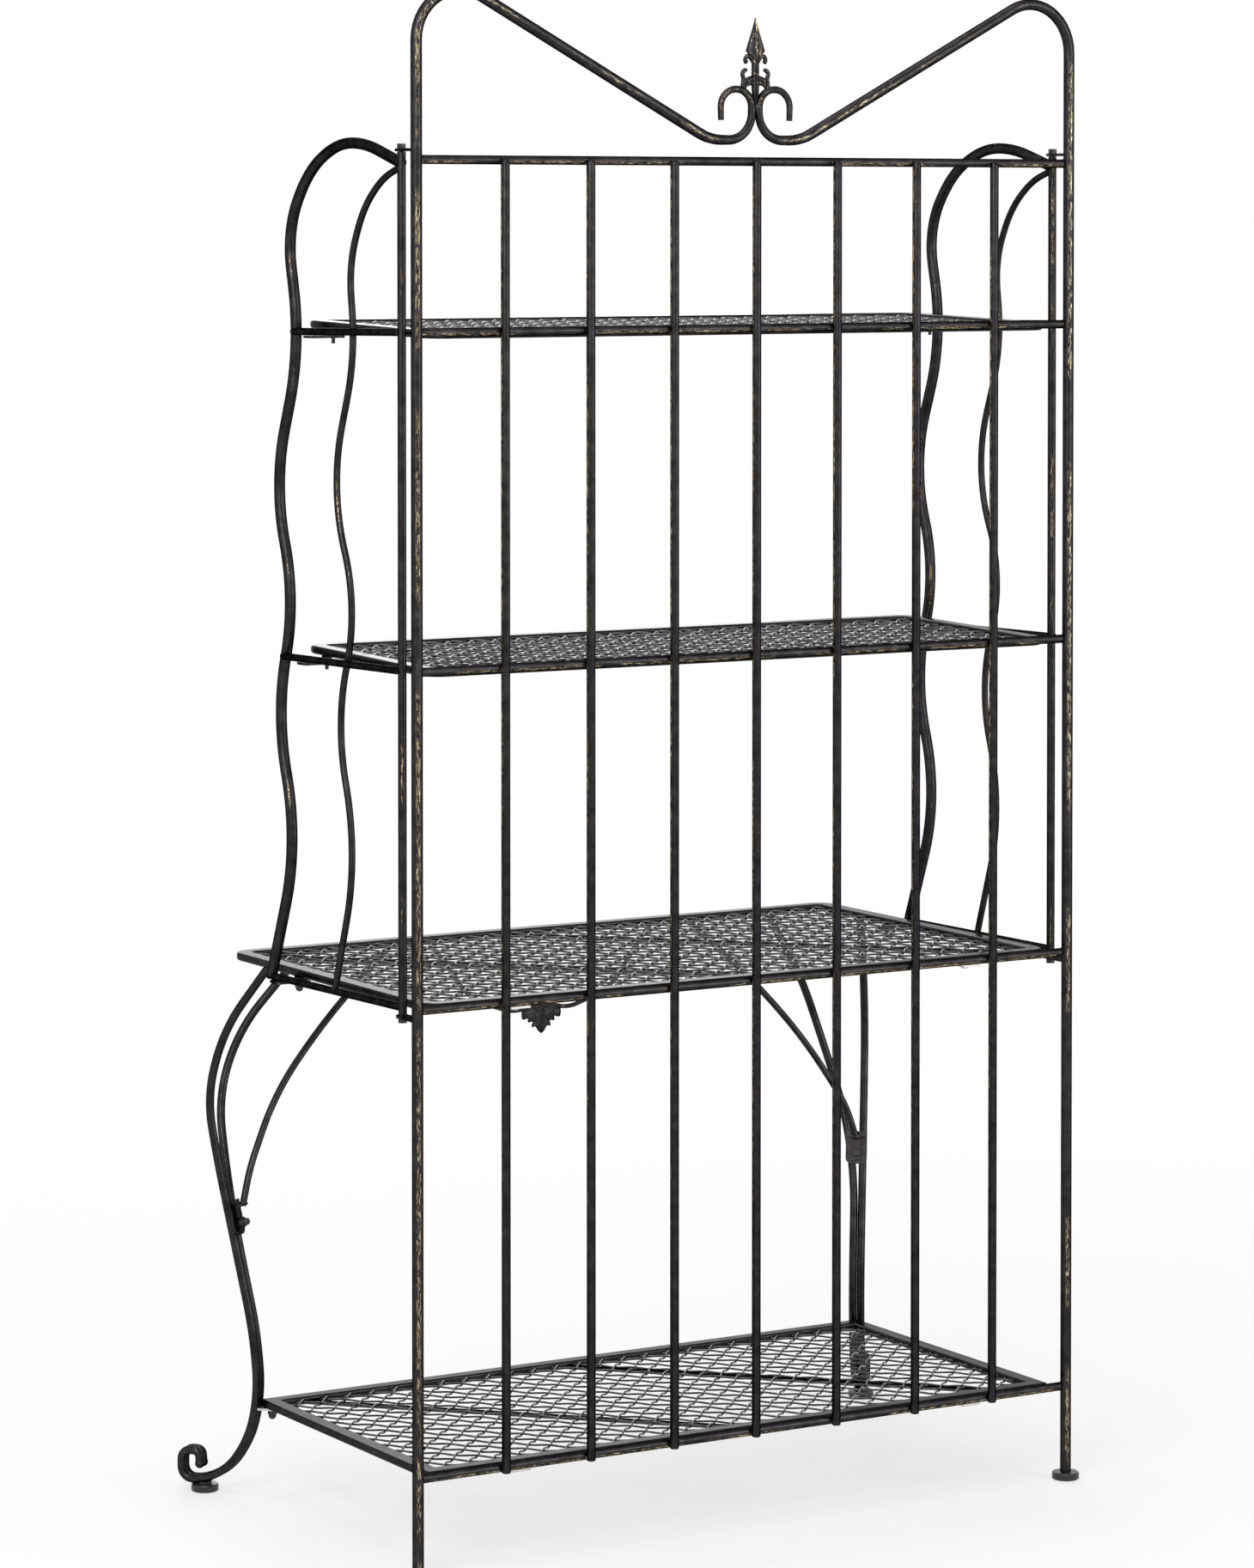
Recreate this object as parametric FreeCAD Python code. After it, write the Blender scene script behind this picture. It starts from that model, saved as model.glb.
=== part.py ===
"""Bakers rack of bent steel tube: back panel, hinged side panels, four mesh shelves, cabriole legs.

Units are millimetres, +Z is up and the front of the rack faces -Y. The model is drawn with the
back posts at Y = 0 and moved at the end, so that the origin is on the floor at the middle of the
rack's outline. Right and left are those of a person who faces the front: right is +X.
"""
import FreeCAD, Part
import math
import os

from FreeCAD import Vector

# ---- Back panel -----------------------------------------------------------------------------
POST_SPACING = 820.0          # between the centre lines of the two back posts
POST_DIAMETER = 12.0
ROD_COUNT = 7
ROD_DIAMETER = 9.5
RAIL_DIAMETER = 9.5
ROD_SETBACK = 3.5             # from the posts' centres back to the rods' centres
WELD_DEPTH = 2.0              # how far one tube is let into the tube that it is welded across
ARCH_RISE = 174.0             # from the top rail's centre to the peak of the arch's centre line
ARCH_BEND_RADIUS = 52.0       # bend from the post into the sloping run
ARCH_SLOPE = 27.7             # degrees below the horizontal, towards the middle
ARCH_DIP = 22.7               # from the top rail's centre up to the lowest point of the slope
ARCH_DIP_BEND = 60.0
SCROLL_HEIGHT = 53.8          # from the lowest point to the top of the scroll's centre line
SCROLL_WIDTH = 39.5           # between the centre lines of a scroll's two upright sides
SCROLL_LOWER_BEND = 29.0
SCROLL_UPPER_BEND = 19.0
SCROLL_TAIL = 33.0            # length of the end that turns down
SCROLL_NECK_DIAMETER = 8.6    # where the two scrolls meet at the middle
SCROLL_END_DIAMETER = 6.4

# ---- Heights of the rail centres above the floor ---------------------------------------------
LOWER_SHELF_HEIGHT = 103.0
COUNTER_HEIGHT = 587.0
SHELF_BAY = 348.0             # counter to middle shelf, and middle shelf to upper shelf
CROWN_BAY = 177.0             # upper shelf to top rail

# ---- Shelves ----------------------------------------------------------------------------------
FRAME_WIDTH = 18.0
FRAME_HEIGHT = 9.0
FRAME_EDGE_RADIUS = 3.0
SHELF_SIDE_GAP = 17.0         # from a post's centre line to the shelf's edge
UPPER_DEPTH = 276.0           # upper and middle shelves, from the rail to the front edge
UPPER_DROP = 2.4              # back edge of those shelves below the rail's centre
UPPER_RISE = 6.9              # their front edge above their back edge
COUNTER_REACH = 461.0         # from the posts' centres to the counter's front edge
LOWER_REACH = 390.0
SHELF_CORNER = 24.0
COUNTER_CORNER = 22.0
LOWER_CORNER = 4.0
MESH_PITCH = 20.8             # between parallel wires, which run at 45 degrees
MESH_WIRE = 3.5
MESH_DROP = 1.0               # from the frame's top face down to the mesh
SMALLEST_CELL = 6.0           # area in square mm under which a cell at the edge is left solid
CORNER_MARGIN = 0.5           # least sheet left between a cell and the frame's rounded corner
STIFFENER_WIDTH = 12.0
STIFFENER_THICKNESS = 2.5
STIFFENER_OFFSET = 165.0      # each way from the shelf's diagonal centre line

# ---- Side panels --------------------------------------------------------------------------------
PANEL_OUTSET = 0.3            # from a post's centre line out to the panel's plane
HINGE_SETBACK = 31.0          # from the posts' centres forward to the hinge axis
HINGE_TUBE_DIAMETER = 9.0
FRONT_TUBE_DIAMETER = 12.0
INNER_TUBE_DIAMETER = 7.3
SIDE_RAIL_DIAMETER = 8.0
SIDE_RAIL_LAP = 3.5           # side rails lie this much outside the panel's plane
SIDE_RAIL_SLOPE = 0.015       # their fall for each millimetre forward of the hinges
LUG_THICKNESS = 3.0
LUG_WIDTH = 14.0
LUG_RISE = 10.0               # upper lug above the top rail's centre
LUG_DROP = 9.0                # lower lug below the counter rail's centre
PIN_DIAMETER = 6.0
PIN_CLEARANCE = 0.05          # radial
PIN_LENGTH = 30.0             # in the tube
PIN_HEAD_ACROSS_FLATS = 9.0
PIN_HEAD_HEIGHT = 5.0
SWING_GAP = 0.3               # between a side panel and anything that it swings past
RIGHT_FLARE = 0.3             # degrees that the right panel stands open at rest
LEFT_FLARE = 1.7
FRONT_TUBE_END = 323.0        # how far forward the front tube stands on the counter's side rail
INNER_TUBE_END = 179.0
SIDE_RAIL_OVERRUN = 6.0

# ---- Shelf fixings -------------------------------------------------------------------------------
TAB_THICKNESS = 2.5
TAB_WIDTH = 22.0
TAB_INNER_MARGIN = 4.0        # tab past the frame's centre line
UPPER_TAB_SETBACK = 231.0
MIDDLE_TAB_SETBACK = 247.0
COUNTER_TAB_SETBACK = 312.0
STUD_DIAMETER = 4.0
STUD_TAIL = 6.0
BOSS_DIAMETER = 11.0
BOLT_DIAMETER = 6.0
BOLT_BITE = 5.0               # depth of thread in a frame
NUT_ACROSS_FLATS = 10.0
NUT_HEIGHT = 5.0
NUT_DOME_DIAMETER = 8.6
NUT_DOME_HEIGHT = 6.0
REAR_TAB_OFFSET = 285.0       # from the middle plane
REAR_TAB_LENGTH = 26.0
SCREW_DIAMETER = 5.0
SCREW_HEAD_DIAMETER = 9.5
SCREW_HEAD_HEIGHT = 3.0

# ---- Front legs ----------------------------------------------------------------------------------
LEG_SPLAY = 38.3              # degrees from straight ahead to the plane in which a leg bends
LEG_TUBE_DIAMETER = 9.2
LEG_SIDE_STANDOFF = 3.6       # leg's base point beyond the lower shelf's side edge
LEG_FRONT_SETBACK = 0.8       # and behind its front edge
ANKLE_HEIGHT = 116.0
ANKLE_REACH = -0.5
SHIN_HEIGHT = 180.0
SHIN_REACH = 5.0
# Corners above the shin: reach, place across the leg, and share of the way down from the
# counter's underside to the shin's corner.
THIGH = (40.0, 0.0, 0.1776)
KNEE = (60.0, 0.0, 0.3640)
CALF = (48.0, 0.0, 0.5280)
INSTEP = (9.5, 66.0)          # reach and height of the corner below the ankle
TOE = (34.0, 29.0)            # and of the last corner above the floor
SCROLL_FOOT_REACH = 92.0      # outermost centre line of the scroll at the foot
SCROLL_FOOT_RISE = 31.5
SCROLL_FOOT_CURL = 21.0
SCROLL_FOOT_TAIL = 12.0
INNER_LEG_TOP = 305.0         # from the middle plane, under the counter's front edge
INNER_THIGH = (56.0, -75.0, 0.2050)
INNER_KNEE = (71.5, -53.0, 0.3839)
INNER_CALF = (46.0, -22.0, 0.5950)
INNER_LEG_SPLIT = 0.7814      # share of the way down at which the two tubes have met
BRACE_DIAMETER = 7.6
BRACE_TOP = 194.0             # from the middle plane
BRACE_SHOULDER = (-26.0, -123.0, 0.1876)
BRACE_ELBOW = (8.0, -66.0, 0.3714)
BRACE_RUN_IN = (3.0, 12.0, 40.0)   # last corner from the brace's end: behind, inward and above
BRACKET_PLACE = 0.6944        # share of the way down of the bracket's middle
BRACKET_LENGTH = 38.0
BRACKET_CORNER = 7.0          # rounding of its lower corners
BRACKET_BOLT_DROP = 6.0       # bolt below the bracket's middle
BRACKET_WIDTH = 25.0
BRACKET_THICKNESS = 2.5
BRACKET_LET_IN = 0.8
BRACE_TAB_WIDTH = 12.0
BRACE_TAB_TAIL = 15.0         # tab below the bracket's middle
BRACE_TAB_RISE = 14.0         # and above it
BRACE_CLEARANCE = 2.6         # between the tab's outer face and the brace's tube
LEG_TAB_WIDTH = 18.0

# ---- Feet and ornaments --------------------------------------------------------------------------
FOOT_DIAMETER = 30.0
FOOT_HEIGHT = 8.0
FOOT_EDGE = 1.2
FOOT_COLLAR_DIAMETER = 15.0
FOOT_REACH = 66.0             # centre of the front foot along the leg's plane
FINIAL_THICKNESS = 7.0
FINIAL_EDGE_THICKNESS = 1.6
FINIAL_HEIGHT = 72.0          # from the scrolls' upper surface to the tip
APRON_ROD_DIAMETER = 5.0
APRON_DROP = 81.0             # from the counter frame's underside to the apron's lowest run
APRON_HALF_SPAN = 150.0
LEAF_WIDTH = 54.0
LEAF_HEIGHT = 40.0
LEAF_THICKNESS = 3.0
LEAF_TEETH = 4                # on each side
LEAF_NOTCH = 0.76             # distance of a notch from the leaf's middle, as a share of a tooth's

# ---- Places that follow from the sizes -----------------------------------------------------------
POST_X = POST_SPACING / 2.0
ROD_RADIUS = ROD_DIAMETER / 2.0
RAIL_RADIUS = RAIL_DIAMETER / 2.0
RAIL_Y = ROD_SETBACK - (ROD_RADIUS + RAIL_RADIUS - WELD_DEPTH)
MIDDLE_SHELF_HEIGHT = COUNTER_HEIGHT + SHELF_BAY
UPPER_SHELF_HEIGHT = MIDDLE_SHELF_HEIGHT + SHELF_BAY
TOP_RAIL_HEIGHT = UPPER_SHELF_HEIGHT + CROWN_BAY
PANEL_X = POST_X + PANEL_OUTSET
SIDE_RAIL_X = PANEL_X + SIDE_RAIL_LAP
SHELF_HALF = POST_X - SHELF_SIDE_GAP
RAIL_FRONT = RAIL_Y - RAIL_RADIUS
COUNTER_UNDERSIDE = COUNTER_HEIGHT - FRAME_HEIGHT / 2.0
UPPER_LUG_Z = TOP_RAIL_HEIGHT + LUG_RISE
LOWER_LUG_Z = COUNTER_HEIGHT - LUG_DROP

parts = {}


def mirrored(shape):
    """The same piece on the other side of the middle plane."""
    return shape.mirror(Vector(0, 0, 0), Vector(1, 0, 0))


def add_pair(name, right_shape):
    """A piece and its mirror image, as two nodes."""
    parts["right_" + name] = right_shape
    parts["left_" + name] = mirrored(right_shape)


def both_sides(shapes):
    """A group of solids with their mirror images."""
    return list(shapes) + [mirrored(shape) for shape in shapes]


def rod(start, end, diameter):
    """Round bar between two points."""
    along = end - start
    return Part.makeCylinder(diameter / 2.0, along.Length, start, along)


def disc_solid(centre, diameter, height, direction=Vector(0, 0, 1)):
    return Part.makeCylinder(diameter / 2.0, height, centre, direction)


def hexagon_solid(centre, across_flats, height):
    """Upright hexagonal prism on the point centre."""
    corner = across_flats / 2.0 / math.cos(math.pi / 6)
    points = []
    for index in range(7):
        angle = index * math.pi / 3
        points.append(centre + Vector(corner * math.cos(angle), corner * math.sin(angle), 0))
    return Part.Face(Part.makePolygon(points)).extrude(Vector(0, 0, height))


def bent_edges(corners, radii=None):
    """Centre line of a bent tube: straight runs joined by tangent arcs.

    Each corner's arc has the radius given for it, or is as large as the shorter of its two runs
    allows when half of that run is left to the next corner.
    """
    edges = []
    start = corners[0]
    for index in range(1, len(corners) - 1):
        corner = corners[index]
        back = (corners[index - 1] - corner)
        ahead = (corners[index + 1] - corner)
        cut = min(back.Length, ahead.Length) / 2.0
        half_turn = (math.pi - back.getAngle(ahead)) / 2.0
        if radii and radii[index - 1]:
            cut = min(cut * 2.0, radii[index - 1] * math.tan(half_turn))
        radius = cut / math.tan(half_turn)
        back.normalize()
        ahead.normalize()
        middle = (back + ahead).normalize()
        apex = corner + middle * (radius / math.cos(half_turn) - radius)
        arc_start = corner + back * cut
        arc_end = corner + ahead * cut
        if start.distanceToPoint(arc_start) > 0.01:
            edges.append(Part.makeLine(start, arc_start))
        edges.append(Part.Arc(arc_start, apex, arc_end).toShape())
        start = arc_end
    if start.distanceToPoint(corners[-1]) > 0.01:
        edges.append(Part.makeLine(start, corners[-1]))
    return edges


def section_at(edge, parameter, diameter):
    """Round cross-section square to the edge."""
    return Part.makeCircle(diameter / 2.0, edge.valueAt(parameter), edge.tangentAt(parameter))


def tube_piece(edge, diameter):
    """Tube of one diameter along a straight run or an arc."""
    face = Part.Face(Part.Wire(section_at(edge, edge.FirstParameter, diameter)))
    curve = edge.Curve
    if isinstance(curve, Part.Circle):
        angle = edge.Length / curve.Radius
        return face.revolve(curve.Center, curve.Axis, math.degrees(angle))
    return face.extrude(edge.tangentAt(edge.FirstParameter) * edge.Length)


def tapered_piece(edge, start_diameter, end_diameter):
    """Tube along one edge whose diameter changes evenly."""
    first = Part.Wire(section_at(edge, edge.FirstParameter, start_diameter))
    last = Part.Wire(section_at(edge, edge.LastParameter, end_diameter))
    return Part.Wire(edge).makePipeShell([first, last], True, False)


def joined(pieces):
    """One solid from pieces that meet face to face."""
    if len(pieces) == 1:
        return pieces[0]
    whole = pieces[0].multiFuse(pieces[1:]).removeSplitter()
    return whole.Solids[0] if len(whole.Solids) == 1 else whole


def tube(corners, diameter, radii=None):
    """Bent tube of one diameter through the corners' arcs."""
    return joined([tube_piece(edge, diameter) for edge in bent_edges(corners, radii)])


def below(shape, z):
    """What is left of a shape under a level plane."""
    box = shape.BoundBox
    margin = 5.0
    height = box.ZMax - z + margin
    if height <= margin:
        return shape
    corner = Vector(box.XMin - margin, box.YMin - margin, z)
    return shape.cut(Part.makeBox(box.XLength + 2 * margin, box.YLength + 2 * margin, height, corner))


def rounded_rectangle(half_width, back, front, radius):
    """Wire of a rectangle with round corners in the floor plane; front and back are Y values."""
    middle = math.radians(45)
    edges = []
    centres = [
        (half_width - radius, back - radius, 0),
        (-half_width + radius, back - radius, 90),
        (-half_width + radius, front + radius, 180),
        (half_width - radius, front + radius, 270),
    ]
    ends = []
    for x, y, start_angle in centres:
        first = math.radians(start_angle)
        points = []
        for angle in (first, first + middle, first + 2 * middle):
            points.append(Vector(x + radius * math.cos(angle), y + radius * math.sin(angle), 0))
        edges.append(Part.Arc(*points).toShape())
        ends.append((points[0], points[2]))
    for index in range(4):
        edges.append(Part.makeLine(ends[index][1], ends[(index + 1) % 4][0]))
    return Part.Wire(Part.__sortEdges__(edges))


# ---- Back panel ----------------------------------------------------------------------------------

def arch_corners(foot_z):
    """Centre line corners of the right post, from the floor end to the tail of the scroll."""
    slope = math.radians(ARCH_SLOPE)
    peak = TOP_RAIL_HEIGHT + ARCH_RISE
    half_turn = math.radians(90 + ARCH_SLOPE) / 2.0
    shoulder_z = peak + ARCH_BEND_RADIUS * (math.tan(half_turn) - 1.0)
    low_z = TOP_RAIL_HEIGHT + ARCH_DIP
    neck_x = SCROLL_NECK_DIAMETER / 2.0 + SWING_GAP / 2.0
    low_x = POST_X - (shoulder_z - low_z) / math.tan(slope)
    top_z = low_z + SCROLL_HEIGHT
    outer_x = neck_x + SCROLL_WIDTH
    return [
        Vector(POST_X, 0, foot_z),
        Vector(POST_X, 0, shoulder_z),
        Vector(low_x, 0, low_z),
        Vector(neck_x, 0, low_z),
        Vector(neck_x, 0, top_z),
        Vector(outer_x, 0, top_z),
        Vector(outer_x - 1.0, 0, top_z - SCROLL_TAIL),
    ]


def back_post():
    """Post, arch and scroll: one tube that tapers from the slope's lower bend to the tail."""
    radii = [
        ARCH_BEND_RADIUS, ARCH_DIP_BEND, SCROLL_LOWER_BEND, SCROLL_UPPER_BEND, SCROLL_UPPER_BEND,
    ]
    edges = bent_edges(arch_corners(FOOT_HEIGHT), radii)
    plain = edges[:3]
    scroll = edges[3:]
    pieces = [tube_piece(edge, POST_DIAMETER) for edge in plain]
    neck_index = 3
    neck_length = sum(edge.Length for edge in scroll[:neck_index])
    tail_length = sum(edge.Length for edge in scroll[neck_index:])
    diameter = POST_DIAMETER
    for index, edge in enumerate(scroll):
        if index < neck_index:
            step = (POST_DIAMETER - SCROLL_NECK_DIAMETER) * edge.Length / neck_length
        else:
            step = (SCROLL_NECK_DIAMETER - SCROLL_END_DIAMETER) * edge.Length / tail_length
        pieces.append(tapered_piece(edge, diameter, diameter - step))
        diameter -= step
    return joined(pieces)


def rod_places():
    pitch = POST_SPACING / (ROD_COUNT + 1)
    return [(index + 1) * pitch - POST_X for index in range(ROD_COUNT)]


def back_rod(x):
    """Upright rod on the back of the rails, from near the top rail's upper edge to the lowest rail."""
    top = TOP_RAIL_HEIGHT + RAIL_RADIUS - WELD_DEPTH
    bottom = LOWER_SHELF_HEIGHT - RAIL_RADIUS
    return rod(Vector(x, ROD_SETBACK, bottom), Vector(x, ROD_SETBACK, top), ROD_DIAMETER)


def back_rail(z, cutters):
    """Level rail in front of the rods, let in where the rods and posts cross it."""
    rail = rod(Vector(-POST_X, RAIL_Y, z), Vector(POST_X, RAIL_Y, z), RAIL_DIAMETER)
    return rail.cut(cutters)


def make_back_panel():
    post = back_post()
    add_pair("post", post)
    rods = [back_rod(x) for x in rod_places()]
    for index, shape in enumerate(rods):
        parts["back_rod_%d" % (index + 1)] = shape
    straight_post = rod(Vector(POST_X, 0, 0), Vector(POST_X, 0, TOP_RAIL_HEIGHT + 50), POST_DIAMETER)
    cutters = rods + [straight_post, mirrored(straight_post)]
    heights = {
        "top_rail": TOP_RAIL_HEIGHT,
        "upper_back_rail": UPPER_SHELF_HEIGHT,
        "middle_back_rail": MIDDLE_SHELF_HEIGHT,
        "counter_back_rail": COUNTER_HEIGHT,
        "lower_back_rail": LOWER_SHELF_HEIGHT,
    }
    for name, z in heights.items():
        parts[name] = back_rail(z, cutters)


# ---- Finial --------------------------------------------------------------------------------------

def finial_half_outline(seat_z):
    """Right half of the spearhead, from the tip down: blade, curled ears, stem, lower curls, body."""
    tip_z = seat_z + FINIAL_HEIGHT
    steps = [
        (0.0, 0.0), (4.0, -14.0), (12.0, -35.5), (9.5, -38.5), (14.5, -42.0), (15.0, -47.5),
        (12.0, -50.0), (10.5, -46.5), (7.0, -46.0), (4.0, -54.0), (5.5, -61.0), (9.0, -63.0),
        (13.0, -59.0), (14.5, -55.0), (18.5, -56.0), (19.0, -62.0), (15.5, -66.5), (17.5, -71.0),
        (12.0, -76.0), (6.0, -84.0), (2.0, -96.0), (0.0, -98.0),
    ]
    return [Vector(x, 0, tip_z + dz) for x, dz in steps]


def make_finial():
    """Cast spearhead with a ridge down its middle, seated between the tops of the two scrolls."""
    scroll_top = TOP_RAIL_HEIGHT + ARCH_DIP + SCROLL_HEIGHT + SCROLL_NECK_DIAMETER / 2.0
    right = finial_half_outline(scroll_top)
    left = [Vector(-point.x, 0, point.z) for point in reversed(right[1:-1])]
    outline = Part.makePolygon(right + left + [right[0]])
    half = FINIAL_THICKNESS / 2.0
    plate = Part.Face(outline).extrude(Vector(0, FINIAL_THICKNESS, 0))
    plate.translate(Vector(0, -half, 0))
    reach = 24.0
    edge = FINIAL_EDGE_THICKNESS / 2.0
    low = right[-1].z - 1.0
    section = [(reach, edge), (0, half), (-reach, edge), (-reach, -edge), (0, -half), (reach, -edge)]
    points = [Vector(x, y, low) for x, y in section]
    ridge = Part.Face(Part.makePolygon(points + [points[0]])).extrude(Vector(0, 0, FINIAL_HEIGHT + 40))
    seated = plate.common(ridge).cut([parts["right_post"], parts["left_post"]])
    parts["finial"] = max(seated.Solids, key=lambda solid: solid.Volume)


# ---- Shelves -------------------------------------------------------------------------------------

def clipped(polygon, half_width, back, front):
    """Part of a convex polygon of (x, y) points inside a rectangle."""
    limits = [(0, 1, half_width), (0, -1, half_width), (1, 1, back), (1, -1, -front)]
    for axis, sign, limit in limits:
        kept = []
        for index, point in enumerate(polygon):
            before = polygon[index - 1]
            inside = sign * point[axis] <= limit
            inside_before = sign * before[axis] <= limit
            if inside != inside_before:
                share = (limit - sign * before[axis]) / (sign * (point[axis] - before[axis]))
                kept.append(tuple(b + share * (p - b) for p, b in zip(point, before)))
            if inside:
                kept.append(point)
        polygon = kept
        if not polygon:
            return []
    return polygon


def polygon_area(points):
    total = 0.0
    for index, point in enumerate(points):
        before = points[index - 1]
        total += before[0] * point[1] - point[0] * before[1]
    return abs(total) / 2.0


def mesh_cells(half_width, back, front):
    """Diamond openings between the wires, trimmed to the frame's inner edge."""
    step = MESH_PITCH / math.sqrt(2.0)
    half_cell = (MESH_PITCH - MESH_WIRE) / math.sqrt(2.0)
    columns = int(half_width / step) + 2
    rows = int((back - front) / step) + 2
    cells = []
    for column in range(-columns, columns + 1):
        for row in range(rows + 1):
            if (column + row) % 2:
                continue
            x = column * step
            y = back - row * step
            diamond = [(x + half_cell, y), (x, y + half_cell), (x - half_cell, y), (x, y - half_cell)]
            cell = clipped(diamond, half_width, back, front)
            if len(cell) > 2 and polygon_area(cell) > SMALLEST_CELL:
                cells.append(cell)
    return cells


def mesh_panel(half_width, back, front, corner, top_z):
    """Lattice of wires at 45 degrees, as one pierced sheet as thick as a wire."""
    outline = rounded_rectangle(half_width, back, front, corner)
    margin = max(MESH_WIRE / 2.0, corner * (1.0 - math.sqrt(0.5)) + CORNER_MARGIN)
    holes = []
    for cell in mesh_cells(half_width - margin, back - margin, front + margin):
        points = [Vector(x, y, 0) for x, y in cell]
        holes.append(Part.makePolygon([points[0]] + points[::-1]))
    face = Part.Face([outline] + holes)
    sheet = face.extrude(Vector(0, 0, MESH_WIRE))
    sheet.translate(Vector(0, 0, top_z - MESH_WIRE))
    return sheet


def shelf_frame(half_width, back, front, corner, bottom_z):
    """Ring of flat-sided tube with rounded edges."""
    outer = rounded_rectangle(half_width, back, front, corner)
    inner_corner = max(corner - FRAME_WIDTH, 1.0)
    inner = rounded_rectangle(
        half_width - FRAME_WIDTH, back - FRAME_WIDTH, front + FRAME_WIDTH, inner_corner)
    rise = Vector(0, 0, FRAME_HEIGHT)
    ring = Part.Face(outer).extrude(rise).cut(Part.Face(inner).extrude(rise))
    level = [edge for edge in ring.Edges if edge.BoundBox.ZLength < 0.01]
    ring = ring.makeFillet(FRAME_EDGE_RADIUS, level)
    ring.translate(Vector(0, 0, bottom_z))
    return ring.Solids[0]


def make_shelf(name, half_width, back, front, corner, bottom_z):
    """Frame and mesh of one shelf."""
    parts[name + "_frame"] = shelf_frame(half_width, back, front, corner, bottom_z)
    parts[name + "_mesh"] = mesh_panel(
        half_width - FRAME_WIDTH,
        back - FRAME_WIDTH,
        front + FRAME_WIDTH,
        max(corner - FRAME_WIDTH, 1.0),
        bottom_z + FRAME_HEIGHT - FRAME_EDGE_RADIUS + MESH_WIRE / 2.0 - MESH_DROP,
    )


def stiffeners(half_width, back, front, mesh_bottom):
    """Two flat strips at 45 degrees under a mesh, ending against its frame."""
    inner_half = half_width - FRAME_WIDTH
    inner_back = back - FRAME_WIDTH
    inner_front = front + FRAME_WIDTH
    corner = Vector(-inner_half, inner_front, mesh_bottom - STIFFENER_THICKNESS)
    room = Part.makeBox(2 * inner_half, inner_back - inner_front, STIFFENER_THICKNESS, corner)
    middle_y = (inner_back + inner_front) / 2.0
    length = 2.0 * (inner_back - inner_front)
    strips = []
    for side in (1, -1):
        strip = Part.makeBox(
            length, STIFFENER_WIDTH, STIFFENER_THICKNESS,
            Vector(-length / 2.0, -STIFFENER_WIDTH / 2.0, mesh_bottom - STIFFENER_THICKNESS))
        strip.rotate(Vector(0, 0, 0), Vector(0, 0, 1), -45)
        strip.translate(Vector(side * STIFFENER_OFFSET, middle_y, 0))
        strips.append(strip.common(room).Solids[0])
    return strips


def make_shelves():
    half_height = FRAME_HEIGHT / 2.0
    upper_front = RAIL_FRONT - UPPER_DEPTH
    tilt = math.degrees(math.atan(UPPER_RISE / UPPER_DEPTH))
    for name, height in (("upper_shelf", UPPER_SHELF_HEIGHT), ("middle_shelf", MIDDLE_SHELF_HEIGHT)):
        middle = height - UPPER_DROP
        make_shelf(name, SHELF_HALF, RAIL_FRONT, upper_front, SHELF_CORNER, middle - half_height)
        for node in (name + "_frame", name + "_mesh"):
            parts[node].rotate(Vector(0, RAIL_FRONT, middle), Vector(1, 0, 0), -tilt)
        cut_node(name + "_frame", parts[name.replace("shelf", "back_rail")])
    make_shelf("counter", SHELF_HALF, RAIL_FRONT, -COUNTER_REACH, COUNTER_CORNER, COUNTER_UNDERSIDE)
    make_shelf(
        "lower_shelf", SHELF_HALF, RAIL_FRONT, -LOWER_REACH, LOWER_CORNER,
        LOWER_SHELF_HEIGHT - half_height)
    strips = []
    for name, half, front in (
            ("counter", SHELF_HALF, -COUNTER_REACH), ("lower_shelf", SHELF_HALF, -LOWER_REACH)):
        mesh_bottom = parts[name + "_mesh"].BoundBox.ZMin
        frame = parts[name + "_frame"]
        strips += [strip.cut(frame) for strip in stiffeners(half, RAIL_FRONT, front, mesh_bottom)]
    parts["mesh_stiffeners"] = Part.makeCompound(strips)


# ---- Side panels ---------------------------------------------------------------------------------

def panel_point(reach, z):
    return Vector(PANEL_X, -reach, z)


def rail_fall(reach):
    """How far a side rail has fallen at a reach from the posts."""
    return SIDE_RAIL_SLOPE * (reach - HINGE_SETBACK)


def between(low, high, share):
    return low + share * (high - low)


def front_tube_corners():
    """Centre line of the front tube: over the top, then in waves down to the counter's side rail."""
    top = TOP_RAIL_HEIGHT
    upper, middle, counter = UPPER_SHELF_HEIGHT, MIDDLE_SHELF_HEIGHT, COUNTER_HEIGHT
    return [
        panel_point(HINGE_SETBACK, top - 3.5),
        panel_point(108, top + 18),
        panel_point(166, top + 19),
        panel_point(232, top - 7),
        panel_point(284, top - 72),
        panel_point(254, upper - 19),
        panel_point(315, between(middle, upper, 0.51)),
        panel_point(266, between(middle, upper, 0.165)),
        panel_point(311, between(counter, middle, 0.81)),
        panel_point(262, between(counter, middle, 0.42)),
        panel_point(FRONT_TUBE_END, counter - rail_fall(FRONT_TUBE_END)),
    ]


def inner_tube_corners():
    """Centre line of the inner tube, which follows the front tube at a distance."""
    top = TOP_RAIL_HEIGHT
    upper, middle, counter = UPPER_SHELF_HEIGHT, MIDDLE_SHELF_HEIGHT, COUNTER_HEIGHT
    return [
        panel_point(HINGE_SETBACK, top - 7),
        panel_point(70, top - 18),
        panel_point(112, top - 48),
        panel_point(145, top - 108),
        panel_point(131, upper - 26),
        panel_point(187, between(middle, upper, 0.52)),
        panel_point(126, between(middle, upper, 0.16)),
        panel_point(176, between(counter, middle, 0.815)),
        panel_point(128, between(counter, middle, 0.42)),
        panel_point(INNER_TUBE_END, counter - rail_fall(INNER_TUBE_END)),
    ]


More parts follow.
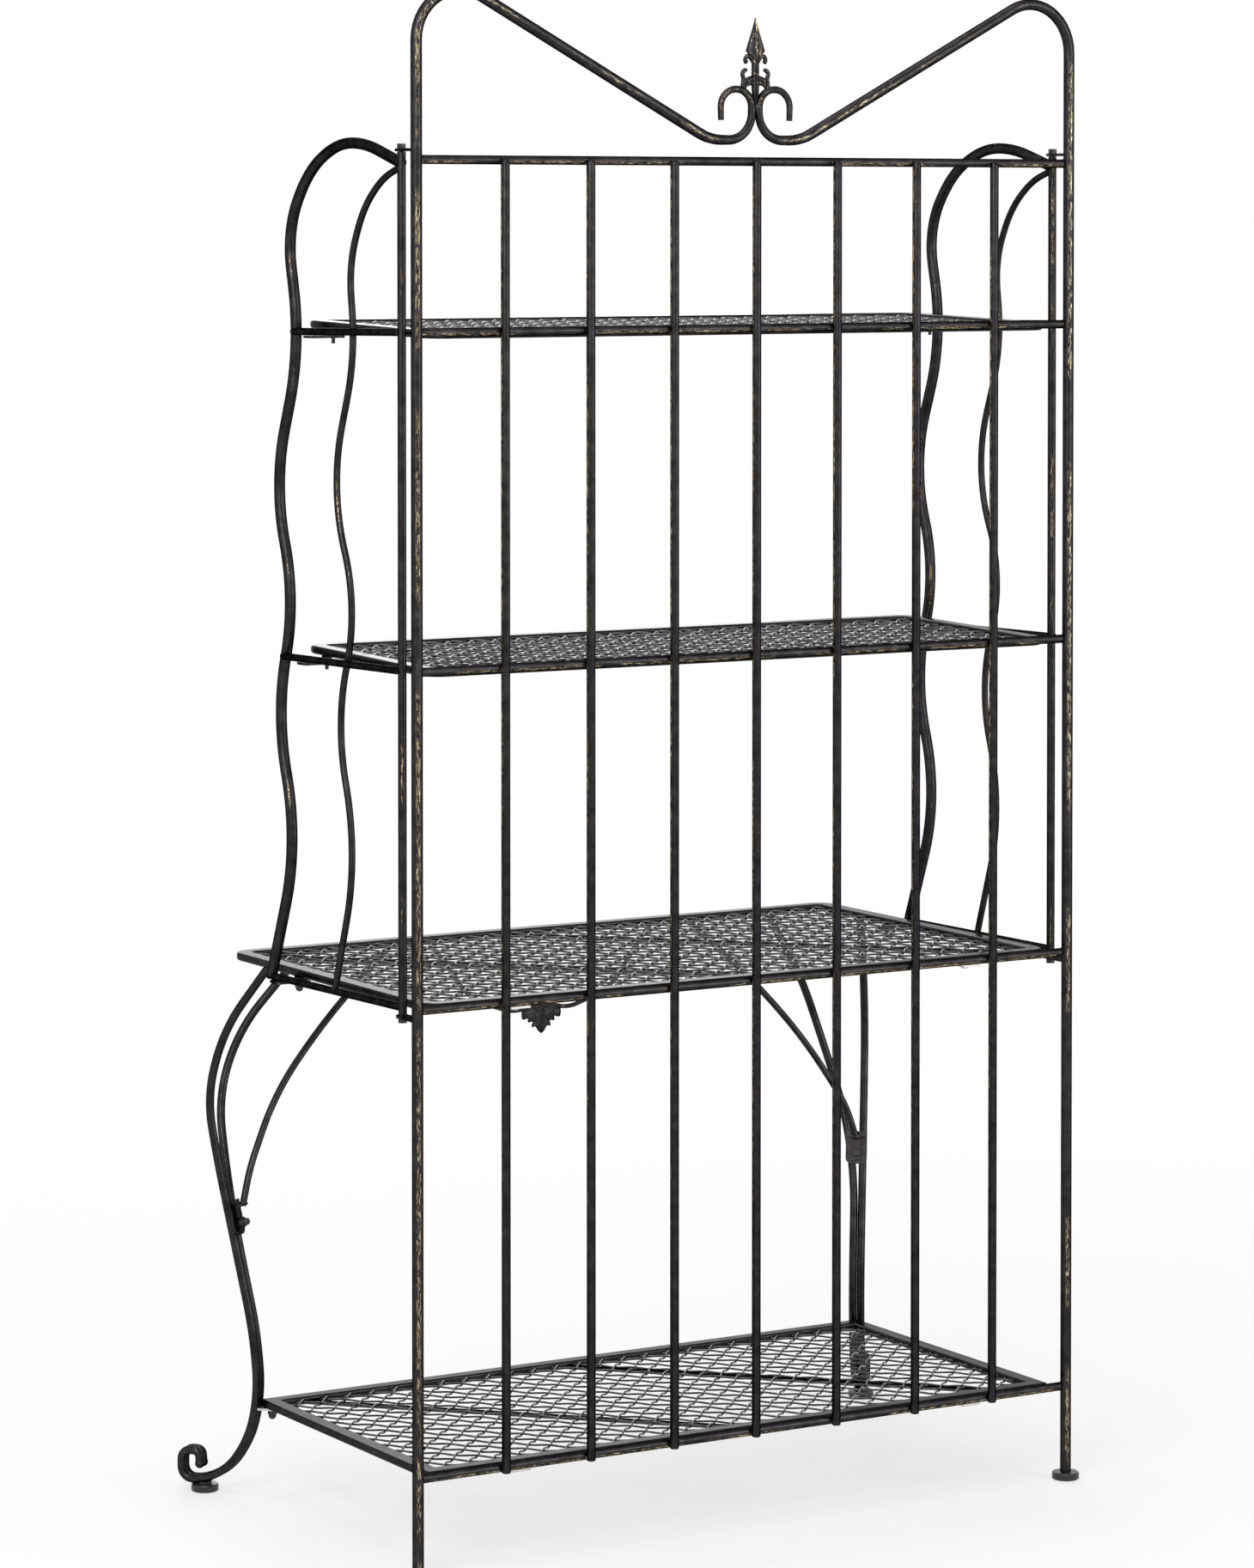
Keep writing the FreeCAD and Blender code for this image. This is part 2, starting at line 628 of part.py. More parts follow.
def hinge_lug(z):
    """Flat lug from the post forward past the hinge axis, with the pin's hole."""
    front = -(HINGE_SETBACK + LUG_WIDTH / 2.0)
    bottom = z - LUG_THICKNESS / 2.0
    half = LUG_WIDTH / 2.0
    body = Part.makeBox(LUG_WIDTH, HINGE_SETBACK, LUG_THICKNESS,
                        Vector(PANEL_X - half, front + half, bottom))
    nose = disc_solid(Vector(PANEL_X, front + half, bottom), LUG_WIDTH, LUG_THICKNESS)
    post = disc_solid(Vector(POST_X, 0, bottom), POST_DIAMETER, LUG_THICKNESS)
    hole = disc_solid(Vector(PANEL_X, -HINGE_SETBACK, bottom), PIN_DIAMETER, LUG_THICKNESS)
    return body.fuse(nose).cut([post, hole]).removeSplitter()


def hinge_pin(z, direction):
    """Pin with a hexagonal head outside its lug; direction is +1 when it points up."""
    axis = Vector(PANEL_X, -HINGE_SETBACK, 0)
    outside = z - direction * LUG_THICKNESS / 2.0
    end = z + direction * (LUG_THICKNESS / 2.0 + SWING_GAP + PIN_LENGTH)
    shank = rod(axis + Vector(0, 0, outside), axis + Vector(0, 0, end), PIN_DIAMETER)
    head_bottom = outside - PIN_HEAD_HEIGHT if direction > 0 else outside
    head = hexagon_solid(axis + Vector(0, 0, head_bottom), PIN_HEAD_ACROSS_FLATS, PIN_HEAD_HEIGHT)
    return shank.fuse(head).removeSplitter()


def make_hinges():
    lugs = [hinge_lug(UPPER_LUG_Z), hinge_lug(LOWER_LUG_Z)]
    pins = [hinge_pin(UPPER_LUG_Z, -1), hinge_pin(LOWER_LUG_Z, 1)]
    parts["hinge_lugs"] = Part.makeCompound(both_sides(lugs))
    parts["hinge_pins"] = Part.makeCompound(both_sides(pins))


def hinge_tube():
    """Upright between the lugs, bored at each end for its pin."""
    bottom = LOWER_LUG_Z + LUG_THICKNESS / 2.0 + SWING_GAP
    top = UPPER_LUG_Z - LUG_THICKNESS / 2.0 - SWING_GAP
    axis = Vector(PANEL_X, -HINGE_SETBACK, 0)
    body = rod(axis + Vector(0, 0, bottom), axis + Vector(0, 0, top), HINGE_TUBE_DIAMETER)
    bore_depth = PIN_LENGTH + SWING_GAP + 1.0
    bore = PIN_DIAMETER + 2 * PIN_CLEARANCE
    lower = disc_solid(axis + Vector(0, 0, bottom), bore, bore_depth)
    upper = disc_solid(axis + Vector(0, 0, top - bore_depth), bore, bore_depth)
    return body.cut([lower, upper])


def reach_at(tube_shape, z):
    """How far forward a panel tube's centre is at a height."""
    slab = Part.makeBox(100, 1000, 0.5, Vector(PANEL_X - 50, -1000, z - 0.25))
    return -tube_shape.common(slab).BoundBox.Center.y


def side_rail(z, front_reach, cutters):
    """Rail on the outer side of the panel, from the hinge tube to the front tube."""
    start = Vector(SIDE_RAIL_X, -HINGE_SETBACK, z)
    end = Vector(SIDE_RAIL_X, -front_reach, z - rail_fall(front_reach))
    return rod(start, end, SIDE_RAIL_DIAMETER).cut(cutters).Solids[0]


def turned_out(shape, flare):
    """A piece of the right panel, turned out on its hinges."""
    turned = shape.copy()
    turned.rotate(Vector(PANEL_X, -HINGE_SETBACK, 0), Vector(0, 0, 1), flare)
    return turned


def add_panel_pair(name, right_shape):
    """A pair of nodes of the side panels, each at its place of rest."""
    parts["right_" + name] = turned_out(right_shape, RIGHT_FLARE)
    parts["left_" + name] = mirrored(turned_out(right_shape, LEFT_FLARE))


def make_side_panels():
    add_panel_pair("hinge_tube", hinge_tube())
    solid_upright = Part.makeCylinder(
        HINGE_TUBE_DIAMETER / 2.0, UPPER_LUG_Z, Vector(PANEL_X, -HINGE_SETBACK, 0))
    front_end = COUNTER_HEIGHT - rail_fall(FRONT_TUBE_END)
    inner_end = COUNTER_HEIGHT - rail_fall(INNER_TUBE_END)
    front = above(tube(front_tube_corners(), FRONT_TUBE_DIAMETER), front_end)
    inner = above(tube(inner_tube_corners(), INNER_TUBE_DIAMETER), inner_end)
    front = front.cut(solid_upright).Solids[0]
    rails = {}
    for name, z in (("upper", UPPER_SHELF_HEIGHT), ("middle", MIDDLE_SHELF_HEIGHT)):
        front_reach = reach_at(front, z - rail_fall(reach_at(front, z)))
        rails[name] = side_rail(z, front_reach, [solid_upright, front])
    last = FRONT_TUBE_END + SIDE_RAIL_OVERRUN
    counter_rail = rod(Vector(PANEL_X, -HINGE_SETBACK, COUNTER_HEIGHT),
                       Vector(PANEL_X, -last, COUNTER_HEIGHT - rail_fall(last)), SIDE_RAIL_DIAMETER)
    rails["counter"] = counter_rail.cut(solid_upright)
    front = front.cut(rails["counter"])
    inner = inner.cut([solid_upright, front] + list(rails.values()))
    add_panel_pair("front_tube", front.Solids[0])
    add_panel_pair("inner_tube", max(inner.Solids, key=lambda solid: solid.Volume))
    for name, shape in rails.items():
        add_panel_pair(name + "_side_rail", shape)


def above(shape, z):
    """What is left of a shape over a level plane."""
    box = shape.BoundBox
    corner = Vector(box.XMin - 1, box.YMin - 1, box.ZMin - 1)
    return shape.cut(Part.makeBox(box.XLength + 2, box.YLength + 2, z - corner.z, corner))


# ---- Shelf fixings -------------------------------------------------------------------------------

def cap_nut(seat, direction, bolt_diameter):
    """Hexagonal nut with a domed cap, bored for its bolt; its flat face is on the point seat."""
    origin = Vector(0, 0, 0)
    radius = NUT_DOME_DIAMETER / 2.0
    collar = NUT_HEIGHT + NUT_DOME_HEIGHT - radius
    body = hexagon_solid(origin, NUT_ACROSS_FLATS, NUT_HEIGHT)
    dome = disc_solid(origin, NUT_DOME_DIAMETER, collar)
    ball = Part.makeSphere(radius, Vector(0, 0, collar))
    nut = body.multiFuse([dome, ball]).removeSplitter()
    nut = nut.cut(disc_solid(origin, bolt_diameter, NUT_HEIGHT))
    return placed(nut, seat, direction)


def placed(shape, point, direction):
    """A shape built up from the origin along +Z, moved to a point and turned along a direction."""
    moved = shape.copy()
    moved.Placement = FreeCAD.Placement(point, FreeCAD.Rotation(Vector(0, 0, 1), direction))
    return moved


def pan_screw(seat, direction, diameter, depth):
    """Screw with a low round head on the point seat; direction points out of the head."""
    head = disc_solid(Vector(0, 0, 0), SCREW_HEAD_DIAMETER, SCREW_HEAD_HEIGHT)
    top_edges = [edge for edge in head.Edges if edge.BoundBox.ZMin > SCREW_HEAD_HEIGHT / 2.0]
    head = head.makeFillet(SCREW_HEAD_HEIGHT / 2.0, top_edges)
    shank = disc_solid(Vector(0, 0, -depth), diameter, depth)
    return placed(head.fuse(shank).removeSplitter(), seat, direction)


def side_tab(setback, top_z):
    """Plate from under the shelf frame's side out to under the side rail; right side."""
    inner = SHELF_HALF - FRAME_WIDTH / 2.0 - BOSS_DIAMETER / 2.0 - TAB_INNER_MARGIN
    outer = SIDE_RAIL_X + TAB_INNER_MARGIN / 2.0
    corner = Vector(inner, -setback - TAB_WIDTH / 2.0, top_z - TAB_THICKNESS)
    plate = Part.makeBox(outer - inner, TAB_WIDTH, TAB_THICKNESS, corner)
    upright = [edge for edge in plate.Edges if edge.BoundBox.ZLength > TAB_THICKNESS / 2.0]
    return plate.makeFillet(TAB_INNER_MARGIN, upright)


def tab_height(height, setback):
    """Top of a side tab: clear of the side rail over its front edge."""
    fall = rail_fall(setback + TAB_WIDTH / 2.0)
    return height - fall - SIDE_RAIL_DIAMETER / 2.0 - SWING_GAP


def cut_node(name, cutters):
    parts[name] = parts[name].cut(cutters).Solids[0]


def upper_underside(height, setback):
    """Underside of the upper or middle shelf's frame over a place in front of the posts."""
    rise = UPPER_RISE * (setback + RAIL_FRONT) / UPPER_DEPTH
    return height - UPPER_DROP - FRAME_HEIGHT / 2.0 + rise


def make_stud_fixings():
    """Upper and middle shelves: a boss under each side, a tab below it and a stud through both."""
    bolt_x = SHELF_HALF - FRAME_WIDTH / 2.0
    tabs = []
    studs = []
    bosses = []
    for name, height, setback in (
            ("upper_shelf", UPPER_SHELF_HEIGHT, UPPER_TAB_SETBACK),
            ("middle_shelf", MIDDLE_SHELF_HEIGHT, MIDDLE_TAB_SETBACK)):
        tab_top = tab_height(height, setback)
        frame_bottom = upper_underside(height, setback)
        tab_bottom = tab_top - TAB_THICKNESS
        top = Vector(bolt_x, -setback, frame_bottom + BOLT_BITE)
        stud = rod(Vector(bolt_x, -setback, tab_bottom - STUD_TAIL), top, STUD_DIAMETER)
        boss_height = frame_bottom - tab_top + FRAME_HEIGHT / 2.0
        boss = disc_solid(Vector(bolt_x, -setback, tab_top), BOSS_DIAMETER, boss_height)
        boss = boss.cut([parts[name + "_frame"], stud]).Solids[0]
        pair = both_sides([stud])
        tabs += both_sides([side_tab(setback, tab_top).cut(stud)])
        cut_node(name + "_frame", pair)
        bosses += both_sides([boss])
        studs += pair
    parts["shelf_studs"] = Part.makeCompound(studs)
    return tabs, bosses


def counter_side_fixing():
    """Boss, tab, bolt and cap nut under the right side of the counter."""
    bolt_x = SHELF_HALF - FRAME_WIDTH / 2.0
    place = Vector(bolt_x, -COUNTER_TAB_SETBACK, 0)
    tab_top = tab_height(COUNTER_HEIGHT, COUNTER_TAB_SETBACK)
    tab_bottom = tab_top - TAB_THICKNESS
    boss = disc_solid(place + Vector(0, 0, tab_top), BOSS_DIAMETER, COUNTER_UNDERSIDE - tab_top)
    bolt = rod(place + Vector(0, 0, tab_bottom - NUT_HEIGHT),
               place + Vector(0, 0, COUNTER_UNDERSIDE + BOLT_BITE), BOLT_DIAMETER)
    nut = cap_nut(place + Vector(0, 0, tab_bottom), Vector(0, 0, -1), BOLT_DIAMETER)
    return side_tab(COUNTER_TAB_SETBACK, tab_top).cut(bolt), boss.cut(bolt), bolt, nut


def rear_fixing(height):
    """Tab under the back rail and the shelf's back edge, with its screw; right side."""
    top_z = height - max(RAIL_RADIUS, FRAME_HEIGHT / 2.0)
    screw_y = RAIL_FRONT - FRAME_WIDTH / 2.0
    back = screw_y + REAR_TAB_LENGTH / 2.0 + TAB_THICKNESS / 2.0
    corner = Vector(REAR_TAB_OFFSET - TAB_WIDTH / 2.0, back - REAR_TAB_LENGTH, top_z - TAB_THICKNESS)
    plate = Part.makeBox(TAB_WIDTH, REAR_TAB_LENGTH, TAB_THICKNESS, corner)
    seat = Vector(REAR_TAB_OFFSET, screw_y, top_z - TAB_THICKNESS)
    depth = TAB_THICKNESS + BOLT_BITE
    screw = pan_screw(seat, Vector(0, 0, -1), SCREW_DIAMETER, depth)
    return plate.cut(screw), screw


def corner_fixing(leg_tubes):
    """Tab from the leg to under the lower shelf's front corner, with its bolt and cap nut."""
    place = Vector(SHELF_HALF - FRAME_WIDTH / 2.0 - 2.0, -LOWER_REACH + FRAME_WIDTH / 2.0 - 1.0, 0)
    top_z = LOWER_SHELF_HEIGHT - FRAME_HEIGHT / 2.0
    bottom = top_z - TAB_THICKNESS
    target = leg_point(ANKLE_REACH / 2.0, -LEG_PITCH / 2.0, 0)
    along = target - place
    length = along.Length + LEG_TAB_WIDTH / 2.0
    plate = Part.makeBox(length, LEG_TAB_WIDTH, TAB_THICKNESS,
                         Vector(-LEG_TAB_WIDTH / 2.0, -LEG_TAB_WIDTH / 2.0, 0))
    turn = FreeCAD.Rotation(Vector(1, 0, 0), along)
    plate.Placement = FreeCAD.Placement(place + Vector(0, 0, bottom), turn)
    bolt = rod(place + Vector(0, 0, bottom - NUT_HEIGHT),
               place + Vector(0, 0, top_z + BOLT_BITE), BOLT_DIAMETER)
    nut = cap_nut(place + Vector(0, 0, bottom), Vector(0, 0, -1), BOLT_DIAMETER)
    pieces = plate.cut(leg_tubes + [bolt]).Solids
    return max(pieces, key=lambda solid: solid.Volume), bolt, nut


def make_fixings():
    tabs, bosses = make_stud_fixings()
    counter_tab, counter_boss, counter_bolt, counter_nut = counter_side_fixing()
    corner_tab, corner_bolt, corner_nut = corner_fixing([parts["right_outer_leg"],
                                                         parts["right_inner_leg"]])
    parts["side_tabs"] = Part.makeCompound(tabs + both_sides([counter_tab]))
    parts["shelf_bosses"] = Part.makeCompound(bosses + both_sides([counter_boss]))
    upper_tab, upper_screw = rear_fixing(COUNTER_HEIGHT)
    lower_tab, lower_screw = rear_fixing(LOWER_SHELF_HEIGHT)
    parts["plain_tabs"] = Part.makeCompound(both_sides([upper_tab, lower_tab, corner_tab]))
    cut_node("counter_frame", both_sides([counter_bolt, upper_screw]))
    cut_node("lower_shelf_frame", both_sides([corner_bolt, lower_screw]))
    parts["shelf_bolts"] = Part.makeCompound(both_sides([counter_bolt, corner_bolt]))
    parts["rear_screws"] = Part.makeCompound(both_sides([upper_screw, lower_screw]))
    stud, screw, bracket_nut = bracket_fasteners()
    parts["bracket_fasteners"] = Part.makeCompound([stud, mirrored(screw)])
    nuts = both_sides([counter_nut, corner_nut]) + [bracket_nut]
    parts["cap_nuts"] = Part.makeCompound(nuts)


# ---- Front legs ----------------------------------------------------------------------------------
# A leg bends in an upright plane through its base point. A place on it is given by s, the reach
# forward along that plane, t, the distance outward across it, and z.

LEG_BASE = Vector(SHELF_HALF + LEG_SIDE_STANDOFF, -LOWER_REACH + LEG_FRONT_SETBACK, 0)
SPLAY = math.radians(LEG_SPLAY)
LEG_FORWARD = Vector(math.sin(SPLAY), -math.cos(SPLAY), 0)
LEG_ACROSS = Vector(math.cos(SPLAY), math.sin(SPLAY), 0)
LEG_PITCH = LEG_TUBE_DIAMETER + 0.1
LEG_RADIUS = LEG_TUBE_DIAMETER / 2.0
FOOT_LINE = FOOT_HEIGHT + LEG_RADIUS + 0.4
FRAME_MIDDLE = COUNTER_REACH - FRAME_WIDTH / 2.0


def leg_height(share):
    """Height at a share of the way down from the counter's underside to the shin's corner."""
    return between(COUNTER_UNDERSIDE, SHIN_HEIGHT, share)


def leg_point(s, t, z):
    return LEG_BASE + LEG_FORWARD * s + LEG_ACROSS * t + Vector(0, 0, z)


def leg_place(x, y, z):
    """The point (x, y, z) as s, t, z."""
    offset = Vector(x, y, 0) - LEG_BASE
    return offset.dot(LEG_FORWARD), offset.dot(LEG_ACROSS), z


def foot_scroll(t):
    """Corners of the ankle, the sweep to the floor and the scroll, for the tube at t."""
    outer = SCROLL_FOOT_REACH
    inner = outer - SCROLL_FOOT_CURL
    top = FOOT_LINE + SCROLL_FOOT_RISE
    return [
        (SHIN_REACH, t, SHIN_HEIGHT),
        (ANKLE_REACH, t, ANKLE_HEIGHT),
        (INSTEP[0], t, INSTEP[1]),
        (TOE[0], t, TOE[1]),
        (FOOT_REACH, t, FOOT_LINE),
        (outer, t, FOOT_LINE),
        (outer, t, top),
        (inner, t, top),
        (inner - 1.0, t, top - SCROLL_FOOT_TAIL),
    ]


def outer_leg_places():
    top_s = (SHELF_HALF - FRAME_WIDTH / 2.0 + 2.0 - LEG_BASE.x) / LEG_FORWARD.x
    return [
        (top_s, 0, COUNTER_UNDERSIDE + LEG_RADIUS),
        leg_corner(THIGH),
        leg_corner(KNEE),
        leg_corner(CALF),
    ] + foot_scroll(0)


def leg_corner(corner):
    """A corner given as reach, place across the leg and share of the way down, as s, t, z."""
    reach, across, share = corner
    return reach, across, leg_height(share)


def inner_leg_places():
    return [
        leg_place(INNER_LEG_TOP, -FRAME_MIDDLE, COUNTER_UNDERSIDE + LEG_RADIUS),
        leg_corner(INNER_THIGH),
        leg_corner(INNER_KNEE),
        leg_corner(INNER_CALF),
        (shin_reach_at(INNER_LEG_SPLIT), -LEG_PITCH, leg_height(INNER_LEG_SPLIT)),
    ] + foot_scroll(-LEG_PITCH)


def shin_reach_at(share):
    """Reach of the straight run between calf and shin at a share of the way down."""
    return between(SHIN_REACH, CALF[0], (1.0 - share) / (1.0 - CALF[2]))


def leg_tube(places):
    shape = tube([leg_point(*place) for place in places], LEG_TUBE_DIAMETER)
    return below(shape, COUNTER_UNDERSIDE)


def bracket_point(along, depth, t):
    """A place by the bracket: along the leg's run, behind its centre line, and across."""
    run = leg_point(*leg_corner(CALF)) - leg_point(SHIN_REACH, 0, SHIN_HEIGHT)
    run.normalize()
    rearward = run.cross(LEG_ACROSS)
    middle = leg_point(shin_reach_at(BRACKET_PLACE), t, leg_height(BRACKET_PLACE))
    return middle + run * along + rearward * depth


BRACKET_FRONT = LEG_RADIUS - BRACKET_LET_IN
BRACKET_BACK = BRACKET_FRONT + BRACKET_THICKNESS
BRACKET_T = -7.3              # middle of the bracket, between the two tubes
BRACE_DEPTH = BRACKET_BACK + TAB_THICKNESS + BRACE_DIAMETER / 2.0 + BRACE_CLEARANCE


def bracket_strip(outline, width):
    """Plate with its outline in (along, depth) and its width across the leg."""
    start = BRACKET_T - width / 2.0
    points = [bracket_point(along, depth, start) for along, depth in outline]
    return Part.Face(Part.makePolygon(points + [points[0]])).extrude(LEG_ACROSS * width)


def bracket_axis():
    return (bracket_point(0, 1, 0) - bracket_point(0, 0, 0)).normalize()


def bracket_plate():
    half = BRACKET_LENGTH / 2.0
    outline = [(-half, BRACKET_FRONT), (half, BRACKET_FRONT), (half, BRACKET_BACK), (-half, BRACKET_BACK)]
    plate = bracket_strip(outline, BRACKET_WIDTH)
    short = [edge for edge in plate.Edges if edge.Length < 2.0 * BRACKET_THICKNESS]
    short.sort(key=lambda edge: edge.CenterOfMass.z)
    return plate.makeFillet(BRACKET_CORNER, short[:2])


def brace_tab():
    """Cranked end of the brace: flat on the bracket, then turned back to the tube's end."""
    front = BRACKET_BACK
    back = front + TAB_THICKNESS
    high = BRACE_TAB_RISE
    low = -BRACE_TAB_TAIL
    reach = BRACE_DEPTH + BRACE_DIAMETER / 2.0
    outline = [
        (low, front), (high, front), (high, reach), (high - TAB_THICKNESS, reach),
        (high - TAB_THICKNESS, back), (low, back),
    ]
    return bracket_strip(outline, BRACE_TAB_WIDTH)


def leg_brace():
    """Thin curved tube from the counter's front edge down to the bracket."""
    high = COUNTER_UNDERSIDE
    behind, inward, above = BRACE_RUN_IN
    end = bracket_point(BRACE_TAB_RISE - TAB_THICKNESS, BRACE_DEPTH, BRACKET_T)
    corners = [
        leg_point(*leg_place(BRACE_TOP, -FRAME_MIDDLE, high + BRACE_DIAMETER / 2.0)),
        leg_point(*leg_corner(BRACE_SHOULDER)),
        leg_point(*leg_corner(BRACE_ELBOW)),
        end + Vector(0, 0, above) - LEG_ACROSS * inward - LEG_FORWARD * behind,
        end,
    ]
    arm = below(tube(corners, BRACE_DIAMETER), high)
    return arm.fuse(brace_tab()).removeSplitter()


def bracket_fasteners():
    """Stud and cap nut of the right bracket, and the screw of the left one, drawn on the right."""
    axis = bracket_axis()
    seat = bracket_point(-BRACKET_BOLT_DROP, BRACKET_BACK + TAB_THICKNESS, BRACKET_T)
    front = bracket_point(-BRACKET_BOLT_DROP, BRACKET_FRONT, BRACKET_T)
    stud = rod(front, seat + axis * NUT_HEIGHT, STUD_DIAMETER)
    screw = pan_screw(seat, axis, STUD_DIAMETER, TAB_THICKNESS + BRACKET_THICKNESS)
    return stud, screw, cap_nut(seat, axis, STUD_DIAMETER)


def make_legs():
    outer = leg_tube(outer_leg_places())
    inner = leg_tube(inner_leg_places())
    stud = bracket_fasteners()[0]
    plate = bracket_plate().cut([outer, inner, stud])
    brace = leg_brace().cut(stud)
    add_pair("outer_leg", outer)
    add_pair("inner_leg", inner)
    add_pair("leg_bracket", max(plate.Solids, key=lambda solid: solid.Volume))
    add_pair("leg_brace", brace)


# ---- Feet ----------------------------------------------------------------------------------------

def foot_disc(centre):
    """Round foot with chamfered edges, standing on the floor."""
    disc = disc_solid(centre, FOOT_DIAMETER, FOOT_HEIGHT)
    rims = [edge for edge in disc.Edges if isinstance(edge.Curve, Part.Circle)]
    return disc.makeChamfer(FOOT_EDGE, rims)


def make_feet():
    add_pair("rear_foot", foot_disc(Vector(POST_X, 0, 0)))
    centre = leg_point(FOOT_REACH, -LEG_PITCH / 2.0, 0)
    collar_top = FOOT_LINE - LEG_RADIUS / 2.0
    collar = disc_solid(centre, FOOT_COLLAR_DIAMETER, collar_top)
    foot = foot_disc(centre).fuse(collar).cut([parts["right_outer_leg"], parts["right_inner_leg"]])
    add_pair("front_foot", max(foot.Solids, key=lambda solid: solid.Volume))


# ---- Apron ---------------------------------------------------------------------------------------

def leaf_outline(centre_z):
    """Serrated leaf that hangs point down: teeth on an oval, alternately out and in."""
    points = []
    steps = 2 * LEAF_TEETH
    first = math.radians(12)
    last = math.radians(-90)
    for index in range(steps + 1):
        angle = between(first, last, index / steps)
        share = LEAF_NOTCH if index % 2 else 1.0
        x = share * LEAF_WIDTH / 2.0 * math.cos(angle)
        z = share * LEAF_HEIGHT * 0.86 * math.sin(angle)
        points.append((x, z))
    crown = [(0.0, LEAF_HEIGHT * 0.10), (LEAF_WIDTH * 0.22, LEAF_HEIGHT * 0.14)]
    right = [Vector(x, 0, centre_z + z) for x, z in crown + points]
    left = [Vector(-point.x, 0, point.z) for point in reversed(right[1:-1])]
    return right + left + [right[0]]


def make_apron():
    """Thin curved rods under the counter's front edge that meet at a leaf."""
    y = -FRAME_MIDDLE + FRAME_WIDTH / 2.0 - 10.0
    low = COUNTER_UNDERSIDE - APRON_DROP
    corners = [
        Vector(6.0, y, low + 2.0),
        Vector(34.0, y, low - 7.0),
        Vector(APRON_HALF_SPAN * 0.62, y, low + 12.0),
        Vector(APRON_HALF_SPAN * 0.80, y, low + 0.62 * APRON_DROP),
        Vector(APRON_HALF_SPAN, y, COUNTER_UNDERSIDE + APRON_ROD_DIAMETER),
    ]
    arm = below(tube(corners, APRON_ROD_DIAMETER), COUNTER_UNDERSIDE)
    leaf = Part.Face(Part.makePolygon(leaf_outline(low + 1.0))).extrude(Vector(0, LEAF_THICKNESS, 0))
    leaf.translate(Vector(0, y - LEAF_THICKNESS / 2.0, 0))
    parts["apron_leaf"] = leaf
    arm = max(arm.cut(leaf).Solids, key=lambda solid: solid.Volume)
    parts["apron_rods"] = Part.makeCompound(both_sides([arm]))


def outline_middle():
    """Y of the middle of the rack's outline, from its rear feet to the knees of its front legs."""
    front = min(parts[name].optimalBoundingBox().YMin
                for name in ("right_outer_leg", "right_inner_leg", "right_front_foot"))
    return (FOOT_DIAMETER / 2.0 + front) / 2.0


def main():
    make_back_panel()
    make_finial()
    make_shelves()
    make_hinges()
    make_side_panels()
    make_legs()
    make_feet()
    make_fixings()
    make_apron()
    to_origin = Vector(0, -outline_middle(), 0)
    print("back posts at Y = %.3f" % to_origin.y)
    os.makedirs("parts", exist_ok=True)
    for name, shape in parts.items():
        shape.translate(to_origin)
        print(name, len(shape.Solids), shape.isValid(), round(shape.Volume, 1), len(shape.Faces))
        shape.exportStep("parts/%s.step" % name)


main()
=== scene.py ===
"""Looks of the bakers rack around its CAD frame.

Woven meshes, relief ornaments, weld beads and rubbed enamel, with painted highlights of bronze
flecks.
"""
import math

import bmesh
import bpy
from mathutils import Matrix, Vector, noise


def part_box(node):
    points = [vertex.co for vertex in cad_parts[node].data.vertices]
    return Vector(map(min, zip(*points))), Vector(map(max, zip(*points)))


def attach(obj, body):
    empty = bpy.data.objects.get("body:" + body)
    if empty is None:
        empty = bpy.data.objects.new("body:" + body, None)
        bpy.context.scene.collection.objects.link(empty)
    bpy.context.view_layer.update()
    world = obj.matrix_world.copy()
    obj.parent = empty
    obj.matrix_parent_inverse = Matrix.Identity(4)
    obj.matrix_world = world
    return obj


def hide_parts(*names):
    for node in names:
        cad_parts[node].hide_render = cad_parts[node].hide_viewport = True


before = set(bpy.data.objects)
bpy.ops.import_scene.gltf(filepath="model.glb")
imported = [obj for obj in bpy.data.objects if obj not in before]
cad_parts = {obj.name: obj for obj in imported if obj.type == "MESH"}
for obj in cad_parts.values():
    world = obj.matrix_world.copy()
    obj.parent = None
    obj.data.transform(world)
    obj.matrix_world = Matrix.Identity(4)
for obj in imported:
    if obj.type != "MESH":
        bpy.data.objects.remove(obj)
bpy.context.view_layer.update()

MM = 0.001
FRONT_SHIFT = 234.274         # the posts' centre plane, in mm behind the origin

# ---- Sizes that repeat the CAD model, in mm -----------------------------------------------------
POST_X = 410.0
ROD_SPACING = 102.5
ROD_X = [(index - 3) * ROD_SPACING for index in range(7)]
ROD_Y = 3.5
ROD_RADIUS = 4.75
RAIL_HEIGHTS = {"top": 1460.0, "upper": 1283.0, "middle": 935.0, "counter": 587.0, "lower": 103.0}
RAIL_FRONT = -8.75
UPPER_DROP = 2.4              # back edge of the upper shelves below their rail
UPPER_TILT = math.atan(6.9 / 276.0)
UPPER_MESH_DROP = 1.9         # their meshes' middle below the rail, before the tilt
MESH_PITCH = 20.8
MESH_ANCHOR = 1.75            # from a mesh's back edge to the crossing that the others follow
WIRE_REACH = 0.0012           # m that the wires run on into the frame
SHORTEST_WIRE = 0.004         # m
WIRE_RADII = (1.2, 1.15)      # of the crimped wires and of the nearly straight ones
WIRE_WAVES = (1.6, 0.6)       # height of their waves
ARCH_SLOPE = math.radians(27.7)
ROD_TOP = 1.5                 # of the rods, above the top rail's middle
ROD_BEVEL = 0.8
ROD_BEAD, POST_BEAD, LIP_BEAD = 1.5, 1.7, 1.3   # radii of the weld beads
POST_EDGE = 5.6               # of a post, where its beads lie
FINIAL_TIP = 1612.8
LEAF_TIP = 468.1
LEAF_Y = -453.0
LEG_BASE = (396.6, -389.2)    # a leg bends in an upright plane through this point
LEG_SPLAY = math.radians(38.3)
LEG_PITCH = 9.3               # between a leg's two tubes
KNOB_HEIGHT, KNOB_RADIUS = 5.2, 4.9
